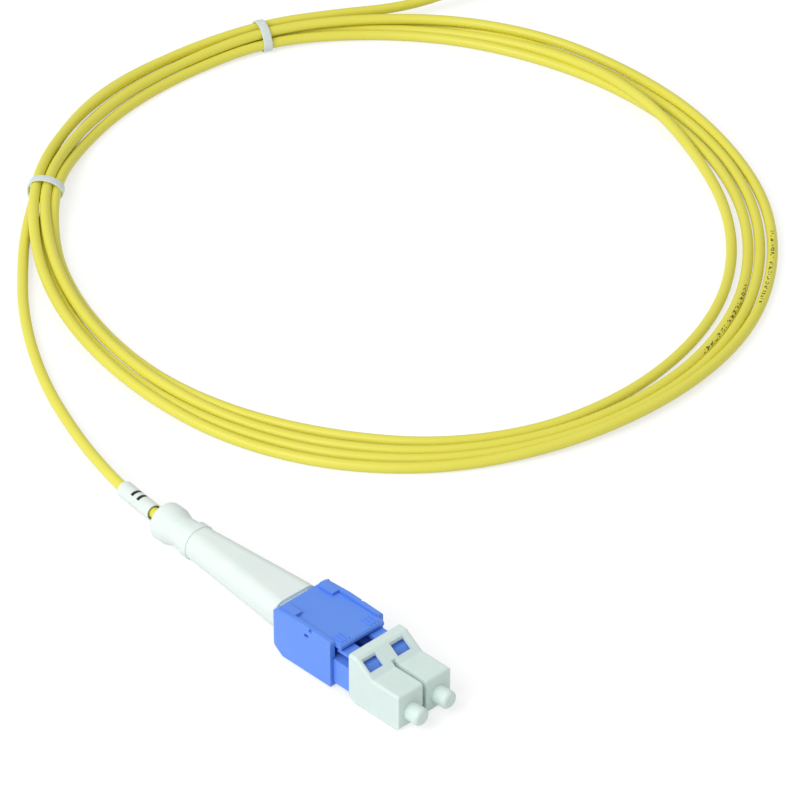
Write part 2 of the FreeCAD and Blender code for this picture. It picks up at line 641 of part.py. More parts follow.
def make_back_post(label, place):
    """Crimp post: a plate held in the housing's side grooves and a tube that the cable is crimped on."""
    body = new_body(label, place)
    half = s.shell_channel / 2 + s.post_plate_seat
    plate_rear = -s.post_front - s.post_plate
    square_bar(body, "Pad", plate_rear, -s.post_front, -half, half, s.shell_boot_floor, s.post_plate_top)
    round_bar(body, "Pad", -s.post_end, plate_rear, ZERO, s.boot_z, s.post_dia)
    fork_half = s.pitch / 2 + s.fibre_dia
    round_bar(body, "Pocket", -s.post_end - SPARE, plate_rear, ZERO, s.boot_z, s.post_bore)
    square_bar(body, "Pocket", plate_rear - s.post_fit, -s.post_front + SPARE, -fork_half, fork_half,
               s.axis_z - s.fibre_dia, s.boot_z + s.post_bore / 2)
    return body


def make_crimp_sleeve(label, place):
    """Stepped metal sleeve: its wide end grips the yarn on the post and its neck grips the jacket."""
    body = new_body(label, place)
    wide_bore = s.post_dia + s.crimp_fit * 2
    neck_bore = s.cable_dia + s.crimp_fit * 2
    round_bar(body, "Pad", -s.crimp_neck, -s.crimp_front, ZERO, s.boot_z, wide_bore + s.crimp_wall * 2)
    round_bar(body, "Pad", -s.crimp_end, -s.crimp_neck, ZERO, s.boot_z, neck_bore + s.crimp_wall * 2)
    round_bar(body, "Pocket", -s.crimp_neck + s.crimp_wall, -s.crimp_front + SPARE, ZERO, s.boot_z, wide_bore)
    round_bar(body, "Pocket", -s.crimp_end - SPARE, -s.crimp_front, ZERO, s.boot_z, neck_bore)
    return body


def loft(body, kind, sketches):
    feature = body.newObject(f"PartDesign::{kind}", kind)
    feature.Profile = sketches[0]
    feature.Sections = sketches[1:]
    feature.Ruled = True
    doc.recompute()
    return feature


def turned(body, kind, points):
    """A half outline of (X, radius) pairs, turned about the boot's axis."""
    sketch = new_sketch(body, "XZ_Plane", ZERO)
    add_polygon(sketch, [(x, s.boot_z + radius) for x, radius in points])
    height = s.boot_z.value
    axis = sketch.addGeometry(Part.LineSegment(Vector(-1, height, 0), Vector(1, height, 0)), True)
    sketch.addConstraint(Sketcher.Constraint("Horizontal", axis))
    hold(sketch, axis, 1, -SPARE, s.boot_z)
    feature = body.newObject(f"PartDesign::{kind}", kind)
    feature.Profile = sketch
    feature.ReferenceAxis = (sketch, ["Axis0"])
    doc.recompute()
    return feature


def make_boot(label, place):
    """Tapered boot: flattened front in the housing, thin neck, flared grip, and a bore for the cable."""
    lean = Rotation(BOOT_YAW_DEG, BOOT_PITCH_DEG, 0)
    pivot = Vector(-s.boot_pivot.value, 0, s.boot_z.value)
    body = new_body(label, place.multiply(Placement(Vector(0, 0, 0), lean, pivot)))
    taper = -s.boot_taper_start
    end_block(body, "Pad", -s.tongue_end, -s.boot_front, lambda sketch: add_rounded_rectangle(
        sketch, ZERO, (s.tongue_low + s.tongue_top) / 2, s.tongue_width,
        s.tongue_top - s.tongue_low, s.boot_corner))
    middle, height = (s.boot_low + s.boot_top) / 2, s.boot_top - s.boot_low
    end_block(body, "Pad", taper, -s.tongue_end, lambda sketch: add_rounded_rectangle(
        sketch, ZERO, middle, s.boot_width, height, s.boot_corner))
    wide = new_sketch(body, "YZ_Plane", taper)
    add_rounded_rectangle(wide, ZERO, middle, s.boot_width, height, s.boot_corner)
    thin = new_sketch(body, "YZ_Plane", -s.boot_neck)
    neck = s.boot_neck_dia / 2
    add_rounded_rectangle(thin, ZERO, s.boot_z, s.boot_neck_dia, s.boot_neck_dia, neck - s.corner_flat)
    loft(body, "AdditiveLoft", [wide, thin])
    done = (s.boot_ring - s.boot_taper_start) / (s.boot_neck - s.boot_taper_start)
    ring_width = s.boot_width + (s.boot_neck_dia - s.boot_width) * done + s.boot_ring_rise * 2
    ring_height = height + (s.boot_neck_dia - height) * done + s.boot_ring_rise * 2
    end_block(body, "Pad", -s.boot_ring - s.boot_ring_length / 2, -s.boot_ring + s.boot_ring_length / 2,
              lambda sketch: add_rounded_rectangle(sketch, ZERO, middle + (s.boot_z - middle) * done,
                                                   ring_width, ring_height, ring_height / 2 - s.corner_flat))
    grip = s.boot_grip_dia / 2
    grip_front = -s.boot_end + s.boot_grip_length
    turned(body, "Revolution", [
        (-s.boot_end, ZERO), (-s.boot_end, grip), (grip_front, grip),
        (grip_front + s.boot_flare_length, neck), (-s.boot_neck, neck), (-s.boot_neck, ZERO),
    ])
    dress(body, "Fillet", s.boot_grip_round, lambda edge: any(
        near(edge.BoundBox.XMin, x) and near(edge.BoundBox.XMax, x) for x in (-s.boot_end, grip_front)))
    chamber = s.post_dia / 2 + s.crimp_fit + s.crimp_wall + s.boot_chamber_gap
    bore = s.boot_bore / 2
    turned(body, "Groove", [
        (-s.boot_front + SPARE, ZERO), (-s.boot_front + SPARE, chamber), (-s.boot_chamber_end, chamber),
        (-s.boot_chamber_end, bore), (-s.boot_end + s.boot_mouth_length, bore),
        (-s.boot_end, s.boot_mouth / 2), (-s.boot_end - SPARE, s.boot_mouth / 2), (-s.boot_end - SPARE, ZERO),
    ])
    plate_under = s.plate_top - s.plate_thick
    hook_rear = -s.plate_rear
    half = s.hook_width / 2 + s.hook_gap
    square_bar(body, "Pocket", hook_rear - s.hook_gap, hook_rear + s.hook_length + s.hook_gap, -half, half,
               plate_under - s.hook_drop - s.hook_gap, plate_under + SPARE)
    return body


def rounded_path(points):
    """Straight runs through the points, joined by tangent arcs as large as the runs allow."""
    points = [Vector(*p) for p in points]
    edges, radii, start = [], [], points[0]
    for before, corner, after in zip(points, points[1:], points[2:]):
        back, on = before - corner, after - corner
        turn = math.pi - back.getAngle(on)
        cut = ARC_SHARE * min(back.Length, on.Length)
        radius = cut / math.tan(turn / 2)
        back.normalize()
        on.normalize()
        enter, leave = corner + back * cut, corner + on * cut
        bisector = back + on
        bisector.normalize()
        middle = corner + bisector * (radius / math.cos(turn / 2) - radius)
        edges.append(Part.LineSegment(start, enter).toShape())
        edges.append(Part.Arc(enter, middle, leave).toShape())
        radii.append(round(radius, 1))
        start = leave
    edges.append(Part.LineSegment(start, points[-1]).toShape())
    return Part.Wire(edges), radii


def make_tube(label, place, points, diameter):
    """A round solid along the route, checked against its section times its length."""
    path, radii = rounded_path(points)
    heading = Vector(*points[1]) - Vector(*points[0])
    section = Part.Wire(Part.makeCircle(diameter / 2, Vector(*points[0]), heading))
    solid = path.makePipeShell([section], True, False)
    wanted = math.pi * diameter ** 2 / 4 * path.Length
    share = round(solid.Volume / wanted, 4)
    print(label, "length", round(path.Length, 1), "volume share", share, "radii", radii)
    feature = doc.addObject("Part::Feature", label)
    feature.Label = label
    feature.Shape = solid
    feature.Placement = place
    return feature


def make_fibre(label, place, sign):
    """Buffered fibre from the flange's tube, through the rear stop, to the crimp post."""
    y = sides(sign, s.pitch / 2).value
    close = sides(sign, s.fibre_spread / 2).value
    end = -(s.post_end + s.jacket_gap / 2).value
    return make_tube(label, place, [
        (-s.fibre_tip.value, y, s.axis_z.value), (-s.fibre_fork.value, y, s.axis_z.value),
        (-s.fibre_meet.value, close, s.boot_z.value), (end, close, s.boot_z.value),
    ], s.fibre_dia.value)


def make_lead(label, place, points):
    """Free stretch of the cable, from the crimp sleeve through the boot to the coil."""
    jacket_end = -(s.post_end + s.jacket_gap).value
    return make_tube(label, place, [(jacket_end, 0, s.boot_z.value)] + points, s.cable_dia.value)


def make_marker(label, place, points):
    """Printed marker sleeve, shrunk on the cable on the first run behind the boot."""
    first, second = (Vector(*p) for p in points[1:3])
    run = second - first
    middle = first + run * (s.marker_place.value / run.Length)
    seat = Placement(middle, Rotation(Vector(1, 0, 0), first - second))
    body = new_body(label, place.multiply(seat))
    half = s.marker_length / 2
    round_bar(body, "Pad", -half, half, ZERO, ZERO, s.marker_dia)
    round_bar(body, "Pocket", -half - SPARE, half + SPARE, ZERO, ZERO, s.marker_bore)
    return body


def coil_place():
    return Placement(Vector(s.coil_x.value, s.coil_y.value, 0), Rotation(Vector(0, 0, 1), COIL_TILT_DEG))


def oval_arcs():
    """The coil's middle line: two tight ends and two flatter sides, as (centre, radius, half angle)."""
    long = s.coil_radius.value + s.coil_oval.value
    short = s.coil_radius.value - s.coil_oval.value
    end_radius = short ** 2 / long
    along = long - end_radius
    rise = short - end_radius
    across = (along ** 2 - rise ** 2) / (2 * rise)
    side_radius = short + across
    return along, across, end_radius, side_radius


def oval_wire():
    """The middle line as four tangent arcs."""
    along, across, end_radius, side_radius = oval_arcs()
    split = math.atan2(across, along)
    up = Vector(0, 0, 1)
    arcs = [
        Part.ArcOfCircle(Part.Circle(Vector(along, 0, 0), up, end_radius), -split, split),
        Part.ArcOfCircle(Part.Circle(Vector(0, -across, 0), up, side_radius), split, math.pi - split),
        Part.ArcOfCircle(Part.Circle(Vector(-along, 0, 0), up, end_radius), math.pi - split, math.pi + split),
        Part.ArcOfCircle(Part.Circle(Vector(0, across, 0), up, side_radius), math.pi + split, -split),
    ]
    return Part.Wire([arc.toShape() for arc in arcs])


def oval_point(angle_deg):
    """Point and outward direction of the coil's middle line, seen from its middle at that row angle."""
    local = math.radians(angle_deg - COIL_TILT_DEG)
    far = Vector(math.cos(local), math.sin(local), 0) * 2 * s.coil_radius.value
    ray = Part.LineSegment(Vector(0, 0, 0), far)
    gap, pairs, info = oval_wire().distToShape(ray.toShape())
    point = pairs[0][0]
    along, across, end_radius, side_radius = oval_arcs()
    centres = [Vector(along, 0, 0), Vector(-along, 0, 0), Vector(0, -across, 0), Vector(0, across, 0)]
    radii = [end_radius, end_radius, side_radius, side_radius]
    centre = min(zip(centres, radii), key=lambda c: abs((point - c[0]).Length - c[1]))[0]
    outward = point - centre
    outward.normalize()
    place = coil_place()
    return place.multVec(point), place.Rotation.multVec(outward)


def tie_place(angle_deg):
    """A tie's frame: X along the turns, Y outwards from the coil, Z up."""
    point, outward = oval_point(angle_deg)
    return Placement(point, Rotation(Vector(0, 0, 1), math.degrees(math.atan2(outward.y, outward.x)) - 90))


def coil_stretches():
    """The bundle's bevelled section, turned about the centre of each of the four arcs in turn."""
    along, across, end_radius, side_radius = oval_arcs()
    split = math.degrees(math.atan2(across, along))
    half, height, bevel = s.coil_width.value / 2, s.coil_height.value, s.coil_bevel.value
    corners = [(-half + bevel, 0), (half - bevel, 0), (half, bevel), (half, height - bevel),
               (half - bevel, height), (-half + bevel, height), (-half, height - bevel), (-half, bevel)]
    section = Part.Face(Part.makePolygon([Vector(x, 0, z) for x, z in corners + corners[:1]]))
    up = Vector(0, 0, 1)
    ring = None
    for centre, arc_radius, start, span in (
            (Vector(along, 0, 0), end_radius, -split, 2 * split),
            (Vector(0, -across, 0), side_radius, split, 180 - 2 * split),
            (Vector(-along, 0, 0), end_radius, 180 - split, 2 * split),
            (Vector(0, across, 0), side_radius, 180 + split, 180 - 2 * split)):
        face = section.copy()
        face.translate(Vector(arc_radius, 0, 0))
        face.rotate(Vector(0, 0, 0), up, start)
        face.translate(centre)
        stretch = face.revolve(centre, up, span)
        ring = stretch if ring is None else ring.fuse(stretch)
    return ring.removeSplitter()


def make_coil(label):
    """Outer shape of the coiled turns: a rounded oval ring with a waist under each tie."""
    height = s.coil_height.value
    ring = coil_stretches()
    ring.Placement = coil_place()
    room = s.tie_width.value + 2 * s.tie_gap.value + s.tie_thick.value
    reach = s.coil_width.value + 2
    for angle in TIE_ANGLES_DEG.values():
        slab = Part.makeBox(room, reach, height + 2, Vector(-room / 2, -reach / 2, -1))
        core = Part.makeBox(room + 2, s.waist_width.value, s.waist_top.value - s.waist_bottom.value,
                            Vector(-room / 2 - 1, -s.waist_width.value / 2, s.waist_bottom.value))
        notch = slab.cut(core)
        notch.Placement = tie_place(angle)
        ring = ring.cut(notch)
    feature = doc.addObject("Part::Feature", label)
    feature.Label = label
    feature.Shape = ring
    return feature


def make_tie(label, angle_deg):
    """Flat plastic tie round the bundle, with its twisted free end on the coil's inner side."""
    body = new_body(label, tie_place(angle_deg))
    inner_width = s.waist_width + s.tie_gap * 2
    inner_low, inner_high = s.waist_bottom - s.tie_gap, s.waist_top + s.tie_gap
    outer_height = inner_high - inner_low + s.tie_thick * 2
    half = s.tie_width / 2
    middle = (inner_low + inner_high) / 2
    end_block(body, "Pad", -half, half, lambda sketch: add_rounded_rectangle(
        sketch, ZERO, middle, inner_width + s.tie_thick * 2, outer_height, s.tie_thick * 2))
    tail_y = -inner_width / 2 - s.tie_thick
    square_bar(body, "Pad", -half, half, tail_y - s.tie_tail, tail_y, inner_low, inner_low + s.tie_tail_thick)
    square_bar(body, "Pocket", -half - SPARE, half + SPARE, -inner_width / 2, inner_width / 2,
               inner_low, inner_high)
    return body


def make_connector(end, place, lead_points):
    """All pieces of one connector and the cable that leaves it, at that place."""
    pieces = [make_dust_cap(f"dust_cap_{end}", place)]
    for side, sign in (("left", 1), ("right", -1)):
        pieces += [
            make_plug_frame(f"plug_frame_{end}_{side}", place, sign),
            make_ferrule(f"ferrule_{end}_{side}", place, sign),
            make_flange(f"ferrule_flange_{end}_{side}", place, sign),
            make_spring(f"spring_{end}_{side}", place, sign),
            make_rear_stop(f"rear_stop_{end}_{side}", place, sign),
            make_fibre(f"buffered_fibre_{end}_{side}", place, sign),
        ]
    pieces += [
        make_housing(f"housing_{end}", place),
        make_top_plate(f"pull_plate_{end}", place),
        make_back_post(f"back_post_{end}", place),
        make_crimp_sleeve(f"crimp_sleeve_{end}", place),
        make_boot(f"boot_{end}", place),
        make_lead(f"cable_lead_{end}", place, lead_points),
        make_marker(f"marker_sleeve_{end}", place, lead_points),
    ]
    return pieces


def main():
    place_a = Placement()
    turn_b = Rotation(Vector(0, 0, 1), END_B_TURN_DEG)
    place_b = Placement(Vector(s.end_b_x.value, s.end_b_y.value, 0), turn_b)
    pieces = make_connector("a", place_a, LEAD_A_POINTS) + make_connector("b", place_b, LEAD_B_POINTS)
    pieces.append(make_coil("cable_coil"))
    pieces += [make_tie(label, angle) for label, angle in TIE_ANGLES_DEG.items()]
    doc.recompute()
    failed = [o.Label for o in doc.Objects if "Invalid" in o.State or "Error" in o.State]
    failed += [p.Label for p in pieces if p.Shape.isNull() or not p.Shape.isValid()]
    if failed:
        raise RuntimeError(f"these objects failed: {failed}")
    os.makedirs("parts", exist_ok=True)
    for piece in pieces:
        piece.Shape.exportStep(f"parts/{piece.Label}.step")
        box = piece.Shape.BoundBox
        print(piece.Label, len(piece.Shape.Solids), round(piece.Shape.Volume, 2), "x", round(box.XMin, 2),
              round(box.XMax, 2), "y", round(box.YMin, 2), round(box.YMax, 2), "z", round(box.ZMin, 2),
              round(box.ZMax, 2))


main()
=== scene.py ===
# %% [markdown]
# # A coiled fibre patch cord
# A patch cord is a thin yellow cable with a two-plug connector on each end. The connectors are
# rigid and come finished from the CAD model. What is soft or wound (cable, ties, marker sleeves,
# springs) is made here, and every piece gets its finish here. All lengths in this lesson are
# millimetres, turned to metres by one factor.

# %% Load the rigid model
import math
import bpy
import numpy as np
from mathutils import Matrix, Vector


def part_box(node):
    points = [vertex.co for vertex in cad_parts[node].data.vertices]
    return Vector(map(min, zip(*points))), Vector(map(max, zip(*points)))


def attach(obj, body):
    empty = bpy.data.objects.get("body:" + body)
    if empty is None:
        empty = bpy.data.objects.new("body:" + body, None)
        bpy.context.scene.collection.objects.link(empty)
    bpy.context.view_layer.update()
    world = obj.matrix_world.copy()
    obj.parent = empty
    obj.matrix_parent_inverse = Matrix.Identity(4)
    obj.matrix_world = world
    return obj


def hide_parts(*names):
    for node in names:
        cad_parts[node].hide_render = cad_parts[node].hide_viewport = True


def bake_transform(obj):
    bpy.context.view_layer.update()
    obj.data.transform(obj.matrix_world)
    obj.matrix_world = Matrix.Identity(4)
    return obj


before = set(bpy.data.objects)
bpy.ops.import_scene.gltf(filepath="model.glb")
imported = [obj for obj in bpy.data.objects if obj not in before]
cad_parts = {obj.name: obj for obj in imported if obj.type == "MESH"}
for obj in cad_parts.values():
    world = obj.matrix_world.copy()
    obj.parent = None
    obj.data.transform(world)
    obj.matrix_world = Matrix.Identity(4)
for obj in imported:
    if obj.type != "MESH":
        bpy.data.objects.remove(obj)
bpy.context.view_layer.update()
scene = bpy.context.scene
MM = 0.001

# %% [markdown]
# ## Camera
# The picture was taken from far away with a long lens: the three visible sides of the connector are
# almost equally foreshortened and parallel edges stay parallel. So the camera stands about 0.8 m
# away, 35 degrees up and 45 degrees round, with a narrow angle of view. Its axes come from two
# angles, so it has no roll.

# %% Camera
AZIMUTH = math.radians(45.6)
ELEVATION = math.radians(35.2)
HALF_PICTURE, FOCAL_LENGTH = 400, 5000  # both in pixels
CAMERA_PLACE = (0.44931, -0.44464, 0.50800)  # metres
right = np.array([math.cos(AZIMUTH), math.sin(AZIMUTH), 0.0])
away = np.array([-math.sin(AZIMUTH), math.cos(AZIMUTH), 0.0])
look = away * math.cos(ELEVATION) - np.array([0.0, 0.0, math.sin(ELEVATION)])
up = np.cross(right, look)
camera = bpy.data.objects.new("camera", bpy.data.cameras.new("camera"))
camera.data.sensor_fit = "HORIZONTAL"
camera.data.angle = 2 * math.atan(HALF_PICTURE / FOCAL_LENGTH)
camera.data.clip_start = 0.01
axes = np.eye(4)
axes[:3, :3] = np.column_stack([right, up, -look])
axes[:3, 3] = CAMERA_PLACE
camera.matrix_world = axes.T
scene.collection.objects.link(camera)
scene.camera = camera
print("camera looks along", np.round(look, 3))

# %% [markdown]
# ## The coil's oval
# A hand-wound coil is never a true circle. Seen from above this one is a slightly flattened ring,
# so its radius swings twice round the turn. An oval with one cosine needs only a centre, a mean
# radius, a swing and a direction. Angles along the cable are counted from the left tie, clockwise
# as the cable runs.

# %% Oval helpers
CABLE_DIAMETER = 2.0
COIL_CENTRE = (-104.5, 96.4)
COIL_RADIUS, COIL_SWING, COIL_TILT = 68.3, 3.7, -28.3
LEFT_TIE_ANGLE = 216.6
TOP_TIE_TURN = 59.6


def on_oval(turned, outside, height):
    """Point of the coil: the direction is the left tie's angle minus the degrees turned, and the
    distance from the centre is mean radius + swing * cos(2 * direction off the long axis) + the
    distance outside the oval."""
    angle = np.radians(LEFT_TIE_ANGLE - np.asarray(turned, float))
    radius = COIL_RADIUS + COIL_SWING * np.cos(2 * (angle - math.radians(COIL_TILT))) + outside
    return np.column_stack([COIL_CENTRE[0] + radius * np.cos(angle),
                            COIL_CENTRE[1] + radius * np.sin(angle),
                            np.broadcast_to(height, radius.shape)])


print("coil is about", 2 * (COIL_RADIUS + COIL_SWING), "mm long and",
      2 * (COIL_RADIUS - COIL_SWING), "mm wide")

# %% [markdown]
# ## How the turns lie
# Four whole turns and a fifth part turn go through both ties. Between ties the turns fan out,
# because nothing holds them. Each row of the table gives, for degrees past the left tie, how far
# turns 1 to 4 lie outside the oval. Each turn ends where the next one starts, so the cable is one
# unbroken line: turn 4 crosses over to the outside beyond the top tie, and turn 2 crosses turn 3 to
# the inside.

# %% Turn table
LAY = np.array([
    (0, 1.35, -0.7, -2.1, -0.2), (17, 2.9, 0.1, -2.6, -1.2), (33, 3.9, 0.2, -3.5, -1.7),
    (49, 3.0, -0.3, -3.6, -2.0), (60, 1.9, -0.4, -2.7, -1.5), (75, 1.7, -0.5, -2.7, -0.5),
    (90, 1.5, -0.7, -2.9, 1.0), (105, 1.0, -1.2, -3.1, 2.3), (120, 0.6, -2.2, -2.4, 1.9),
    (137, 1.4, -3.0, -1.3, 3.4), (150, 1.8, -3.2, -0.5, 4.0), (161, 2.1, -3.3, -0.2, 4.5),
    (185, 1.5, -3.6, -0.6, 3.8), (217, 1.0, -4.4, -1.0, 2.9), (233, 0.9, -3.2, -1.1, 2.8),
    (249, 1.9, -2.5, -0.3, 4.1), (265, 2.1, -3.8, -0.5, 4.8), (275, 1.7, -4.1, -1.2, 4.6),
    (289, 1.0, -3.5, -1.3, 3.5), (305, 0.7, -2.8, -1.0, 2.4), (321, 0.3, -3.1, -1.5, 1.9),
    (337, -0.1, -2.3, -1.15, 1.4), (347, 0.0, -2.2, -1.0, 1.35), (360, -0.7, -2.1, -0.2, 1.75)])
LAST_TURN = np.array([(0, 1.75), (17, 1.65), (33, 2.0), (49, 1.4), (60, 0.8)])
STEP = 15
turned = np.arange(0, 360, STEP)
outside = np.array([np.interp(turned, LAY[:, 0], LAY[:, 1 + k]) for k in range(4)])
last_turned = np.arange(0, LAST_TURN[-1, 0] + 1, STEP)
last_outside = np.interp(last_turned, LAST_TURN[:, 0], LAST_TURN[:, 1])
print("fan is", np.round(np.ptp(outside, axis=0).max(), 1), "mm wide between its outer strands")

# %% [markdown]
# ## How high each turn lies
# A strand squeezed between two others rides up on them. Two round strands that touch have their
# centres one diameter apart, so a strand that lies a gap sideways from its neighbour must be higher
# by sqrt(diameter^2 - gap^2). A little more than a diameter is used, because the spline only leans
# on its points. At the ties the whole bundle is lifted a little, because the band goes under it. In
# the left tie two strands lie below and three on top of them.

# %% Heights
TOUCH = 1.05 * CABLE_DIAMETER
TIE_LIFT, TIE_TURNS = 0.75, (0, 60)
CROSS_FROM, CROSS_TO, GATHER_FROM = 95, 160, 280  # degrees past the left tie


def ride_up(strand, supports):
    """Extra height of a strand on its supports: sqrt(touch^2 - gap^2) for the nearest."""
    gap = np.abs(strand - supports).min(axis=0)
    return np.sqrt(np.clip(TOUCH ** 2 - gap ** 2, 0, None))


rides = np.zeros_like(outside)
rides[3] = ride_up(outside[3], outside[:3])
crossing = (turned > CROSS_FROM) & (turned < CROSS_TO)
rides[1] = np.where(crossing, ride_up(outside[1], outside[2:3]), 0)
gathered = turned > GATHER_FROM
rides[2] = np.where(gathered, ride_up(outside[2], outside[:2]), 0)
rides[3] = np.where(gathered, ride_up(outside[3], outside[:2]), rides[3])
rides[2:, 0] = ride_up(outside[2:, 0], outside[:2, :1])
last_rides = ride_up(last_outside, outside[:2, :len(last_turned)])
tie_lift = TIE_LIFT * np.isin(turned, TIE_TURNS)
print("strands ride up by at most", round(rides.max(), 2), "mm")

# %% [markdown]
# ## The cable's route
# The cable leaves each connector inside its boot, sinks to the table and joins the coil. The route
# is one NURBS spline. Its order of 3 makes a smooth line that only leans on its control points: it
# cuts a little inside a ring of them, at (6 + 2 cos(step)) / 8 of the radius. So the ring's points
# stand further out by that share.

# %% Route points
LEAD_A = np.array([
    (-36.2, 0, 5.5), (-46.5, 0, 5.5), (-60.5, 0.4, 5.87), (-70, 1.95, 4.7), (-80, 4.5, 3.4),
    (-95, 9.8, 1.5), (-113, 17.3, 1.0), (-130.5, 28, 1.0), (-144.3, 39.9, 1.0),
    (-151.4, 46.9, 1.1)])
LEAD_B = np.array([
    (-36.2, 0, 5.5), (-46.5, 0, 5.5), (-60.5, 0.5, 5.87), (-70, 2.1, 4.7), (-79, 4.3, 3.6),
    (-90, 8.4, 2.5), (-101, 15, 2.9)])
END_B = (-150.0, 241.0)
SHRINK = (6 + 2 * math.cos(math.radians(STEP))) / 8


def at_end_b(points):
    """The same connector turned a quarter turn to the left and moved: (end x - y, end y + x)."""
    return np.column_stack([END_B[0] - points[:, 1], END_B[1] + points[:, 0], points[:, 2]])


def ring(degrees, off, ride, lift):
    """Control points of one turn, pushed out from the coil's centre by 1 / shrink."""
    points = on_oval(degrees, off, CABLE_DIAMETER / 2 + ride + lift)
    middle = np.array([*COIL_CENTRE, 0.0])
    grown = middle + (points - middle) / SHRINK
    grown[:, 2] = points[:, 2]
    return grown


turns = [ring(turned, outside[k], rides[k], tie_lift) for k in range(4)]
last = ring(last_turned, last_outside, last_rides, tie_lift[:len(last_turned)])
route = np.vstack([LEAD_A, *turns, last, at_end_b(LEAD_B)[::-1]]) * MM
print("route has", len(route), "control points")

# %% [markdown]
# ## One spline for the whole cable
# Before the cable gets its thickness the bare line is read back as points: the ties and marker
# sleeves are laid on those. Then a bevel makes it a round jacket. A curve's box counts each point's
# radius, so the cable's radius is given to the points and the bevel is 1. The up vector stays
# vertical, so that a printed line on the jacket keeps its place round the cable.

# %% Cable curve
curve = bpy.data.curves.new("cable", "CURVE")
curve.dimensions = "3D"
curve.twist_mode = "Z_UP"
spline = curve.splines.new("NURBS")
spline.points.add(len(route) - 1)
spline.points.foreach_set("co", np.column_stack([route, np.ones(len(route))]).ravel())
spline.points.foreach_set("radius", np.full(len(route), CABLE_DIAMETER / 2 * MM))
spline.order_u = 3
spline.use_endpoint_u = True
spline.resolution_u = 8
cable = bpy.data.objects.new("cable", curve)
scene.collection.objects.link(cable)
graph = bpy.context.evaluated_depsgraph_get()
bare = bpy.data.meshes.new_from_object(cable.evaluated_get(graph))
line = np.zeros(len(bare.vertices) * 3)
bare.vertices.foreach_get("co", line)
line = line.reshape(-1, 3)
bpy.data.meshes.remove(bare)
curve.bevel_depth = 1.0
curve.bevel_resolution = 5
curve.use_fill_caps = True
steps = np.linalg.norm(np.diff(line, axis=0), axis=1)
run = np.concatenate([[0], np.cumsum(steps)])
print("cable is", round(run[-1], 4), "m long, lowest", round(line[:, 2].min() / MM, 2), "mm")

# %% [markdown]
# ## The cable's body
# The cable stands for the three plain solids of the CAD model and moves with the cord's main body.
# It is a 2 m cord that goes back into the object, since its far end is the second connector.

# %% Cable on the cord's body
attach(cable, "patch_cord")
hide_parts("cable_coil", "cable_lead_a", "cable_lead_b")
print("cable rides on patch_cord")

# %% [markdown]
# ## Surfaces from a grid of points
# Both pieces that sit on the cable are closed tubes that bite their own tail, like a bent ring: a
# closed profile carried round a closed path. One helper turns such a grid of points into a mesh. If
# the enclosed volume comes out negative, the faces look inwards and are turned round. The UV map
# holds millimetres along and a share round.

# %% Grid helper


def closed_surface(name, points, along, around):
    """Mesh of a grid that closes both ways: a face joins each point with its next ones."""
    rows, columns = points.shape[:2]
    number = np.arange(rows * columns).reshape(rows, columns)
    down, across = np.roll(number, -1, axis=0), np.roll(number, -1, axis=1)
    faces = np.stack([number, down, np.roll(down, -1, axis=1), across], axis=-1).reshape(-1, 4)
    vertices = points.reshape(-1, 3)
    a, b, c, d = (vertices[faces[:, k]] for k in range(4))
    volume = np.einsum("ij,ij->i", a, np.cross(b, c) + np.cross(c, d)).sum() / 6
    if volume < 0:
        faces = faces[:, ::-1]
    mesh = bpy.data.meshes.new(name)
    mesh.from_pydata((vertices * MM).tolist(), [], faces.tolist())
    mesh.polygons.foreach_set("use_smooth", np.ones(len(faces), bool))
    flat = np.column_stack([np.broadcast_to(along, (rows, columns)).ravel(),
                            np.broadcast_to(around, (rows, columns)).ravel()])
    mesh.uv_layers.new(name="UVMap").data.foreach_set("uv", flat[faces.ravel()].ravel())
    mesh.update()
    made = bpy.data.objects.new(name, mesh)
    scene.collection.objects.link(made)
    print(name, len(faces), "faces,", round(abs(volume), 1), "cubic mm")
    return made


def soft_box(share, long, thick, power=0.35):
    """Rounded box: half length * sign(cos) |cos|^power, half thickness * sign(sin) |sin|^power."""
    turn = 2 * np.pi * share
    c, s = np.cos(turn), np.sin(turn)
    return (long / 2 * np.sign(c) * np.abs(c) ** power,
            thick / 2 * np.sign(s) * np.abs(s) ** power)


print("grid helper ready")

# %% [markdown]
# ## Strands in a plane
# A tie goes round all the strands that pass one upright plane. Those places are read from the
# finished line, between the two leads, by the degrees that it has turned about the coil's centre.

# %% Strands in a plane
LEAD_A_LENGTH, LEAD_B_LENGTH = 125, 75
from_centre = line[:, :2] / MM - COIL_CENTRE
line_angle = np.degrees(np.unwrap(np.arctan2(from_centre[:, 1], from_centre[:, 0])))
first = np.abs(run - LEAD_A_LENGTH * MM).argmin()
final = np.abs(run - (run[-1] - LEAD_B_LENGTH * MM)).argmin()
line_turned = line_angle[first] - line_angle[first:final]


def strands_at(turned_to):
    """Where the strands cut the upright plane at an angle: distance from the centre and height."""
    goal = turned_to + line_angle[first] % 360 - LEFT_TIE_ANGLE + 360 * np.arange(-1, 6)
    goal = goal[(goal > 0) & (goal < line_turned.max())]
    flat = np.hypot(from_centre[first:final, 0], from_centre[first:final, 1])
    return np.column_stack([np.interp(goal, line_turned, flat),
                            np.interp(goal, line_turned, line[first:final, 2] / MM)])


print("strands in the left tie:", len(strands_at(0.0)))
print("strands in the top tie:", len(strands_at(TOP_TIE_TURN)))

# %% [markdown]
# ## The ties
# Each tie is a flat strip of clear plastic pulled tight round the bundle and closed on itself. A
# strip under pull takes the shortest way round the strands, which is their convex outline. That
# outline needs no solver: in every direction the strip rests on the strand that reaches furthest
# that way. The strip is stiff and rounds the corners off, so the reach is blurred over the
# directions, which keeps the outline convex. The table presses it flat below.

# %% Tie outline
TIE_WIDTH, TIE_THICKNESS, TIE_STIFFNESS, TIE_CLEARANCE = 1.75, 0.4, 0.3, 0.12
DIRECTIONS, PATH_POINTS, PROFILE_POINTS = 720, 160, 20


